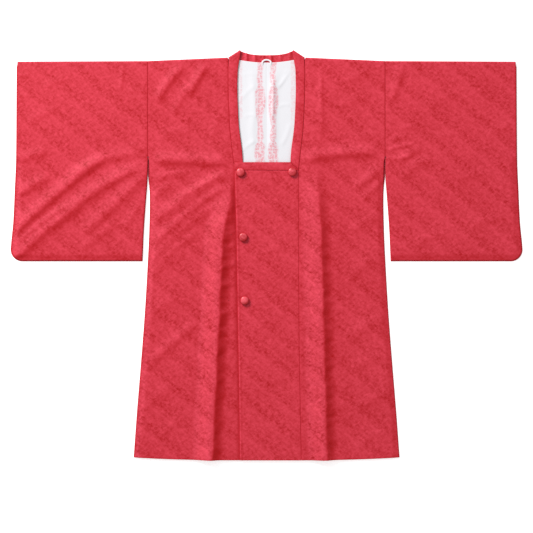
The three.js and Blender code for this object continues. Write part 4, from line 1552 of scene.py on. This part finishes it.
@dataclass
class Neckband:
    """The strip round the neck: up the right front, along the back and down the left front."""

    silk: bpy.types.Material
    peak: tuple[float, float] = (66.4, 29.3)  # the free edge at the shoulder turn: out and y
    foot: tuple[float, float] = (96.2, 10.0)  # the sewn edge there
    back_top: float = 16.4
    crown: float = 0.55  # the band's face stands this much rounder than level
    front_end: float = -20.0  # the front's stations stop here, below the shoulder
    mitre_from: float = 236.0  # depth at which the mitre on the left begins
    columns: int = 12
    ripple_width: float = 3.6
    shown: float = 23.0  # width of the band that shows
    settled: float = 14.0  # its crown is full this far from the right front's end
    wave: float = 0.08  # height of its slow waves
    wave_length: float = 61.0
    back_ripples: tuple[tuple[float, float], ...] = (
        (-50, 1.9),
        (-29, 1.3),
        (-8, 0.8),
        (11, 2.1),
        (35, 1.4),
        (58, 1.7),
    )  # x and rise of the small upright ripples in the back

    @property
    def turn_radius(self) -> float:
        """Radius of the half tube that carries the band over the shoulder."""
        return (CUT.front_lift + CUT.band_proud + CUT.cloth) / 2

    @property
    def turn_out(self) -> Array:
        """Unit vector, across the floor, away from the turn's axis on the left side."""
        across = np.array([self.peak[1] - self.foot[1], self.foot[0] - self.peak[0]])
        return across / np.hypot(*across)

    def axis(self, place: tuple[float, float]) -> Array:
        """Return the point of the turn's axis beside a place on its outside."""
        return np.array(place) - self.turn_radius * self.turn_out

    def front(self, side: Side) -> Array:
        """Work out the stations down one front.

        Args:
            side: The side.

        Returns:
            Stations by 3 by 3: the sewn point, the free point and the way outwards, from the lower end up.
        """
        end = CUT.neck_depth + (CUT.tuck if side is Side.RIGHT else 0)
        y = np.linspace(-end, self.front_end, 62)
        tucked = ease(CUT.neck_depth - CUT.top_strip, CUT.neck_depth - CUT.tuck, -y) * (side is Side.RIGHT)
        mitred = np.clip((-y - self.mitre_from) / (CUT.neck_depth - self.mitre_from), 0, 1)
        sewn_y = y - CUT.top_strip * mitred * (side is Side.LEFT)

        def height(at_y: Array) -> Array:
            """Return the band's underside: it rises with the front and stands a little proud of it."""
            level = np.full_like(at_y, side.value * CUT.ramp_level)
            return CUT.front_lift + CUT.overlap_rise(level, at_y) + CUT.band_proud * (1 - tucked)

        sewn = [side.value * read_table(NECK_EDGE, "seam", sewn_y), sewn_y, height(sewn_y)]
        free = [side.value * read_table(NECK_EDGE, "free", y), y, height(y)]
        up = [0 * y, 0 * y, 0 * y + 1]
        return np.stack([np.stack(part, axis=-1) for part in (sewn, free, up)], axis=1)

    def turn(self, side: Side) -> Array:
        """Work out the stations over the shoulder, a half circle round the axis from foot to peak.

        Args:
            side: The side.

        Returns:
            Stations as those of the front.
        """
        angle = np.linspace(np.pi / 2, -np.pi / 2, 15)
        out_x, out_y = self.turn_out
        level, up = np.cos(angle), np.sin(angle)
        outward = np.stack([side.value * out_x * level, out_y * level, up], axis=-1)
        places = []
        for place in (self.foot, self.peak):
            axis = self.axis(place)
            start = np.array([side.value * axis[0], axis[1], self.turn_radius])
            places.append(start + outward * (self.turn_radius - CUT.cloth))
        return np.stack([*places, outward], axis=1)

    def back(self, side: Side) -> Array:
        """Work out the stations along the back neck's curved seam, from the shoulder to the centre.

        Args:
            side: The side.

        Returns:
            Stations as those of the front.
        """
        share = np.linspace(0.965, 0, 40)
        foot, peak = self.axis(self.foot), self.axis(self.peak)
        x = foot[0] * share
        climb = (x / CUT.neck_out) ** CUT.back_neck_curve
        seam = (CUT.back_neck_top + CUT.back_neck_dip) * climb - CUT.back_neck_dip
        level = 0 * x + CUT.cloth
        sewn = np.stack([side.value * x, seam + CUT.seam_gap, level], axis=-1)
        free = np.stack([side.value * peak[0] * share, mix(self.back_top, peak[1], share**3), level], axis=-1)
        down = np.stack([0 * x, 0 * x, 0 * x - 1], axis=-1)
        return np.stack([sewn, free, down], axis=1)

    def stations(self) -> Array:
        """Join all stations, with straight steps between each front and its turn.

        Returns:
            Stations from the right front's end to the left's.
        """
        steps = np.linspace(0, 1, 9)[1:-1, None, None]
        halves = []
        for side in (Side.RIGHT, Side.LEFT):
            front, turn = self.front(side), self.turn(side)
            halves.append(np.concatenate([front, mix(front[-1], turn[0], steps), turn, self.back(side)]))
        return np.concatenate([halves[0], halves[1][::-1][1:]])

    def build(self) -> bpy.types.Object:
        """Carry the band's crowned section along its stations.

        Returns:
            The piece.
        """
        sewn, free, outward = (self.stations()[:, i][:, None] for i in range(3))
        across = spaced(self.columns, self.shown)[None, :, None]
        inner = mix(sewn, free, across)
        outward = np.broadcast_to(outward, inner.shape)
        middle = inner + outward * CUT.cloth / 2
        rises = sum(rise * bell(middle[..., 0] - x, self.ripple_width) for x, rise in self.back_ripples)
        middle[..., 2] += rises * (outward[..., 2] < -0.99) * ease(0, 0.4, across[..., 0])
        centre = inner[:, inner.shape[1] // 2]
        along = np.concatenate([[0], np.cumsum(np.linalg.norm(np.diff(centre, axis=0), axis=1))])
        width = np.linalg.norm(free - sewn, axis=-1)
        u = across[..., 0] * width
        v = np.broadcast_to(along[:, None], u.shape)
        edge = np.minimum(np.minimum(u, width - u), np.minimum(v, along[-1] - v + 1.2))
        crown = self.crown * np.sin(np.pi * np.clip(u / width, 0, 1)) ** 0.7
        rise = crown + self.wave * uneven(v, self.wave_length)
        dip = -rise * (outward[..., 2] > 0.5) * ease(0, self.settled, v)
        wall = Wall(middle, outward, np.stack([u + 5, v + 17], axis=-1), edge, dip=dip)
        return lay_sheet("neckband", wall, Slot.SILK, self.silk)


@dataclass
class BackLining:
    """The back lining in two halves, with long soft folds and a few creases, sewn down the centre.

    The print's sizes are in millimetres from the centre seam and along the cloth.
    """

    silk: bpy.types.Material
    out: float = 91.0
    foot_out: float = 60.2  # it is cut back below the neck opening, where the overlap covers it
    foot: float = -290.0
    top: float = 6.5
    dip: float = -2.5
    rise: float = 7.0
    reach: float = 70.0
    half_width: float = 10.0  # of the long folds
    fold_stray: float = 3.0  # how far their crests wander
    fold_length: float = 210.0  # over this length
    flat_end: float = 8.0
    easing: float = 60.0
    border: float = 0.9
    seam_dip: float = 0.15
    seam_width: float = 2.2
    column: float = 16.5  # centre of a printed column
    column_stray: float = 1.4
    stray_length: float = 87.0
    column_half: float = 9.6
    column_swell: float = 3.2
    column_edge: tuple[float, float] = (-5.0, 4.0)
    cluster_y: float = -95.0  # middle of a full cluster
    cluster_period: float = 135.0
    pinch_y: float = -199.0  # where a column is pinched off
    pinch_period: float = 140.0
    pinched: float = 0.5  # share of its width that is left there
    pinch_growth: float = 2.4
    outer_column: float = 66.0
    outer_half: float = 7.0
    outer_share: float = 0.52
    outer_y: tuple[float, float] = (-200.0, -120.0)  # the outer columns die out between these

    def print_share(self, x: Array, y: Array) -> Array:
        """Work out how much of the print each place carries.

        A column is a smooth band round its centre. Its half width swells as a cosine along the cloth and is
        pinched off by the size of a sine. The outer columns are fainter and die out down the back.

        Args:
            x: Places across.
            y: Places along.

        Returns:
            Shares from 0 to 1.
        """
        turn = 2 * np.pi * (y - self.cluster_y) / self.cluster_period
        swell = self.column_half + self.column_swell * np.cos(turn)
        from_pinch = np.abs(np.sin(np.pi * (y - self.pinch_y) / self.pinch_period))
        pinch = np.minimum(1, self.pinched + self.pinch_growth * from_pinch)
        stray = self.column_stray * uneven(y, self.stray_length, np.sign(x))
        beside = np.abs(np.abs(x) - self.column - stray)
        beyond = np.abs(np.abs(x) - self.outer_column)
        outer = self.outer_share * ease(-4, 4, self.outer_half - beyond) * ease(*self.outer_y, y)
        return np.maximum(ease(*self.column_edge, swell * pinch - beside), outer)

    def long_folds(self, x: Array, y: Array) -> Array:
        """Work out the long folds: bells across, whose crests wander a little.

        Args:
            x: Places across.
            y: Places along.

        Returns:
            Heights.
        """
        height = 0 * x
        for fold in LINING_FOLDS:
            crest = fold.crest + self.fold_stray * uneven(y, self.fold_length, fold.crest)
            height = height + fold.rise * bell(x - crest, self.half_width)
        return height

    def build(self) -> None:
        """Build both halves. Folds and creases fade in and out along the lining."""
        for side in (Side.RIGHT, Side.LEFT):
            across = spaced(56, self.out, self.border)[None, :]
            top = np.minimum(self.top, self.dip + self.rise * (self.out * across / self.reach) ** 2)
            y = mix(top, self.foot, spaced(132, -self.foot, self.border)[:, None])
            out = mix(self.out, self.foot_out, ease(-CUT.neck_depth + 16, -CUT.neck_depth, y))
            x = side.value * mix(CUT.seam_gap / 2, out, across)
            below = ease(self.flat_end, self.easing, -y)
            above = ease(self.flat_end, self.easing, y + CUT.neck_depth)
            relief = (self.long_folds(x, y) + crease_height(LINING_CREASES, x, y)) * below * above
            body = f"body_{side.word}_cloth"
            panel = FlatPanel(f"lining_{side.word}", Slot.LINING, self.silk, body, thick=CUT.lining)
            wall = panel.wall(x, y, CUT.sewn_lift + relief, self.seam_dip * bell(x, self.seam_width))
            wall.reach = self.border
            wall.edge = np.where(np.abs(x) < 3, np.maximum(wall.edge, 0.8), wall.edge)
            wall.tone = self.print_share(x, y)
            panel.build(wall)


@dataclass
class HangingLoop:
    """The hanging loop: a flat tape that arches over the lining's top edge, its ends stitched down."""

    tape: bpy.types.Material
    half: float = 12.8
    top: float = 6.2
    shoulder: float = -3.0
    foot: float = -11.0
    band: float = 4.0
    thick: float = 1.4
    border: float = 0.8
    flat_ends: float = 0.2  # the ends thin out this much more slowly than the sides
    sinking: float = 8.0  # and come down onto the lining over this length

    def build(self) -> bpy.types.Object:
        """Carry the tape's section along a straight leg, a half ellipse and the other leg.

        Returns:
            The piece.
        """
        angle = np.linspace(0, np.pi, 49)[:, None]
        inset = self.band * spaced(6, self.band, self.border)[None, :]
        arch_x = (self.half - inset) * np.cos(angle)
        arch_y = self.shoulder + (self.top - self.shoulder - inset) * np.sin(angle)
        leg_y = np.linspace(self.foot, self.shoulder, 7)[:-1, None] + 0 * inset
        leg_x = self.half - inset + 0 * leg_y
        x = joined(leg_x, arch_x, -leg_x)
        y = joined(leg_y, arch_y, leg_y[::-1])
        sewn_down = 1 - ease(self.foot, self.foot + self.sinking, y)
        z = CUT.sewn_lift + CUT.lining + CUT.seam_gap + self.thick * (0.5 - 0.95 * sewn_down)
        middle = np.stack([x, y, z], axis=-1)
        centre = middle[:, inset.shape[1] // 2 - 1]
        along = np.concatenate([[0], np.cumsum(np.linalg.norm(np.diff(centre, axis=0), axis=1))])[:, None]
        flat = np.stack([inset + 0 * along, along + 0 * inset], axis=-1)
        ends = self.flat_ends * np.minimum(along, along[-1] - along)
        edge = np.minimum(np.minimum(inset, self.band - inset), ends)
        wall = Wall(middle, upwards(middle), flat, edge, self.thick, reach=self.border)
        return dress(build_wall("hanging_loop_tape", wall), "hanging_loop", self.tape)


@dataclass
class CoveredButtons:
    """Domed buttons covered in the coat's silk, each a cap on a short shank."""

    silk: bpy.types.Material
    profile: tuple[tuple[float, float], ...] = (
        (0.01, 0), (3, 0), (3, 1.6), (9.2, 1.5), (10.3, 1.9), (10.8, 2.9), (10.75, 3.8),
        (10.2, 4.9), (9.1, 5.85), (8.1, 6.35), (6.4, 6.95), (4.5, 7.35), (2.2, 7.55), (0.01, 7.6),
    )  # out and up, from the foot of the shank to the middle of the dome
    sides: int = 64
    gather: float = 0.12  # height of the small gathers where the cloth is drawn under
    gathers: int = 11
    gather_out: tuple[float, float] = (8.6, 10.6)  # they begin and are full at these distances out
    gather_up: tuple[float, float] = (2.6, 4.4)  # and die out between these heights
    deep: float = 0.85  # share of painted shade, the rim's deeper red, round the foot of the cap
    deep_up: tuple[float, float] = (4.4, 6.3)  # it fades between these heights

    def outline(self) -> Array:
        """Work out the profile in quarter steps, its cap smoothed by a running mean of three points.

        Returns:
            Points by 2, out and up.
        """
        points = np.array(self.profile)
        steps = np.linspace(0, len(points) - 1, 4 * len(points) - 3)
        fine = np.stack([np.interp(steps, np.arange(len(points)), column) for column in points.T], axis=-1)
        fine[9:-1] = (fine[8:-2] + 2 * fine[9:-1] + fine[10:]) / 4
        return fine

    def build(self) -> None:
        """Build the buttons, each its profile turned round."""
        outline = self.outline()
        out, up = outline[:, :1], outline[:, 1:]
        angle = np.linspace(0, 2 * np.pi, self.sides, endpoint=False)
        drawn = ease(*self.gather_out, out) * (1 - ease(*self.gather_up, up))
        radius = out + self.gather * np.sin(self.gathers * angle) * drawn
        ring = np.stack([radius * np.cos(angle), radius * np.sin(angle), up + 0 * radius], axis=-1)
        ring = ring.reshape(-1, 3)
        ids = np.arange(len(ring)).reshape(-1, self.sides)
        after = np.roll(ids, -1, axis=1)
        quads = np.stack([ids[:-1], after[:-1], after[1:], ids[1:]], axis=-1).reshape(-1, 4)
        near, far = (ids[[0, -1]].reshape(2, 2, -1)[:, i] for i in (0, 1))
        far = far[:, ::-1]
        foot, dome = np.stack([near[:, :-1], near[:, 1:], far[:, 1:], far[:, :-1]], axis=-1)
        faces = np.concatenate([quads, foot[:, ::-1], dome])
        # Painted shade round the foot of the cap
        tone = self.deep * (1 - ease(*self.deep_up, ring[:, 2]))
        for place in BUTTON_PLACES:
            low, high = (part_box(place.node)[i][2] / MM for i in range(2))
            points = ring * [1, 1, (high - low) / self.profile[-1][1]] + [place.x, place.y, low]
            flat = points[:, :2] + [40 * np.sin(place.y), place.x]  # each cut from another part of the cloth
            piece = build_mesh(f"{place.node}_covered", points, faces, flat, tone)
            dress(piece, place.node, self.silk)


class Stitch(NamedTuple):
    """A short stitch: its middle, what it lies on, its length and the way it points, in degrees."""

    x: float
    y: float
    level: float
    length: float
    turn: float


@dataclass
class Stitches:
    """Hand stitches: tacks on the right front, and bars at the upper ends of the open armholes."""

    thread: bpy.types.Material
    front: BodyHalf  # the half that carries the tacks
    tacks: tuple[tuple[float, float, float, float], ...] = ((-89, -433, 3.2, 80), (-95.3, -597, 3.2, 84))
    bar_y: float = -238.0
    bar_step: float = 1.2
    bar_level: float = 6.1
    bar_length: float = 4.0
    thick: float = 0.7
    sunk: float = 0.1  # into the cloth
    rings: int = 7
    sides: int = 8

    def places(self) -> list[Stitch]:
        """Work out the stitches' places, each on the cloth under it.

        Returns:
            The stitches.
        """
        stitches = []
        for x, y, length, turn in self.tacks:
            under = float(self.front.front_under(np.array([x]), np.array([y]))[0])
            stitches.append(Stitch(x, y, under + CUT.cloth, length, turn))
        for sign in (-1, 1):
            for i in range(3):
                bar_y = self.bar_y - self.bar_step * i
                stitches.append(Stitch(sign * CUT.armhole_out, bar_y, self.bar_level, self.bar_length, 0))
        return stitches

    def build(self) -> bpy.types.Object:
        """Build all stitches as one mesh.

        Each is a tube whose radius follows half a sine along it, to the power of 0.4, so that its ends are
        round.

        Returns:
            The piece.
        """
        t = np.linspace(0.001, 0.999, self.rings)[:, None]
        angle = np.linspace(0, 2 * np.pi, self.sides, endpoint=False)
        radius = self.thick / 2 * np.sin(np.pi * t) ** 0.4
        across, up = radius * np.cos(angle), radius * np.sin(angle) + self.thick / 2 - self.sunk
        ids = np.arange(self.rings * self.sides).reshape(self.rings, self.sides)
        after = np.roll(ids, -1, axis=1)
        tube = np.stack([ids[:-1], ids[1:], after[1:], after[:-1]], axis=-1).reshape(-1, 4)
        points, quads = [], []
        for number, stitch in enumerate(self.places()):
            cos, sin = np.cos(np.radians(stitch.turn)), np.sin(np.radians(stitch.turn))
            along = (t - 0.5) * stitch.length + 0 * angle
            x = stitch.x + along * cos - across * sin
            y = stitch.y + along * sin + across * cos
            points.append(np.stack([x, y, stitch.level + up], axis=-1).reshape(-1, 3))
            quads.append(tube + number * ids.size)
        points, quads = np.concatenate(points), np.concatenate(quads)
        piece = build_mesh("hand_stitches", points, quads, points[:, :2])
        piece.data.materials.append(self.thread)
        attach(piece, "root")
        LOG.info("%s: %d faces", piece.name, len(piece.data.polygons))
        return piece


@dataclass
class Studio:
    """The pale floor, the soft light and the camera straight above the coat."""

    floor_half: float = 6.0  # metres
    floor_level: float = -0.0002  # metres
    photo_width: float = 1332.5  # width of the picture at the coat's level
    lens: float = 100.0
    sensor: float = 36.0
    centre: tuple[float, float] = (-0.25, -27.85)  # what the camera is above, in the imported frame
    cloth_level: float = 8.0
    key_watts: float = 412.0
    key_size: float = 1.7
    key_away: float = 5.8
    key_rise: float = 30.0  # degrees above the floor
    key_round: float = 40.0  # degrees from straight up in the picture, towards the left
    ambient: float = 0.612

    def floor(self) -> None:
        """Lay the floor, just under the coat."""
        x, y = np.meshgrid([-self.floor_half, self.floor_half], [-self.floor_half, self.floor_half])
        corners = np.stack([x.ravel(), y.ravel(), np.full(4, self.floor_level)], axis=-1)
        mesh = bpy.data.meshes.new("floor")
        mesh.from_pydata(corners.tolist(), [], [(0, 1, 3, 2)])
        piece = bpy.data.objects.new("floor", mesh)
        bpy.context.scene.collection.objects.link(piece)
        mesh.materials.append(PaleFloor().build())

    def light(self) -> None:
        """Hang a large soft lamp to the upper left of the picture, in even white light from all round."""
        world = bpy.data.worlds.new("studio")
        world.use_nodes = True
        background = world.node_tree.nodes["Background"]
        background.inputs["Color"].default_value = (1, 1, 1, 1)
        background.inputs["Strength"].default_value = self.ambient
        bpy.context.scene.world = world
        lamp = bpy.data.lights.new("key", "AREA")
        lamp.energy = self.key_watts
        lamp.size = self.key_size
        key = bpy.data.objects.new("key", lamp)
        rise, round_to = np.radians(self.key_rise), np.radians(self.key_round)
        level = self.key_away * np.cos(rise)
        key.location = (-level * np.sin(round_to), level * np.cos(round_to), self.key_away * np.sin(rise))
        key.rotation_euler = (np.pi / 2 - rise, 0, np.pi + round_to)
        bpy.context.scene.collection.objects.link(key)

    def camera(self) -> None:
        """Put the camera so high that its view is as wide as the picture at the coat's level."""
        lens = bpy.data.cameras.new("camera")
        lens.lens = self.lens
        lens.sensor_width = self.sensor
        eye = bpy.data.objects.new("camera", lens)
        height = self.photo_width * self.lens / self.sensor + self.cloth_level
        eye.location = (self.centre[0] * MM, self.centre[1] * MM, height * MM)
        bpy.context.scene.collection.objects.link(eye)
        bpy.context.scene.camera = eye

    def build(self) -> None:
        """Set up the floor, light, camera and plain colour rendering."""
        self.floor()
        self.light()
        self.camera()
        bpy.context.scene.view_settings.view_transform = "Standard"


def main() -> None:
    """Build the studio and the coat, piece by piece."""
    logging.basicConfig(level=logging.INFO, format="%(name)s: %(message)s")
    Studio().build()
    silk = FiguredSilk().build()
    # A copy of the silk for the buttons: its lower roughness and stronger shine are the taut cloth's; its
    # paler figure and weaker deepening are painted highlight on the domes
    highlighted_button_silk = FiguredSilk(
        name="silk_rinzu_on_buttons",
        figure="#F2606F",
        roughness=0.36,
        shine=0.4,
        level=0.08,
        depth=0.2,
        crumple_depth=0,
    )
    right_half = BodyHalf(Side.RIGHT, silk, (0, 0))
    right_half.build()
    BodyHalf(Side.LEFT, silk, (17, 31)).build()
    Sleeve(Side.RIGHT, silk, (41, -13)).build()
    Sleeve(Side.LEFT, silk, (-29, 19)).build()
    FrontPanels(silk).build()
    Neckband(silk).build()
    BackLining(PrintedLining().build()).build()
    HangingLoop(WovenTape().build()).build()
    CoveredButtons(highlighted_button_silk.build()).build()
    Stitches(SilkThread().build(), right_half).build()


if __name__ == "__main__":
    main()
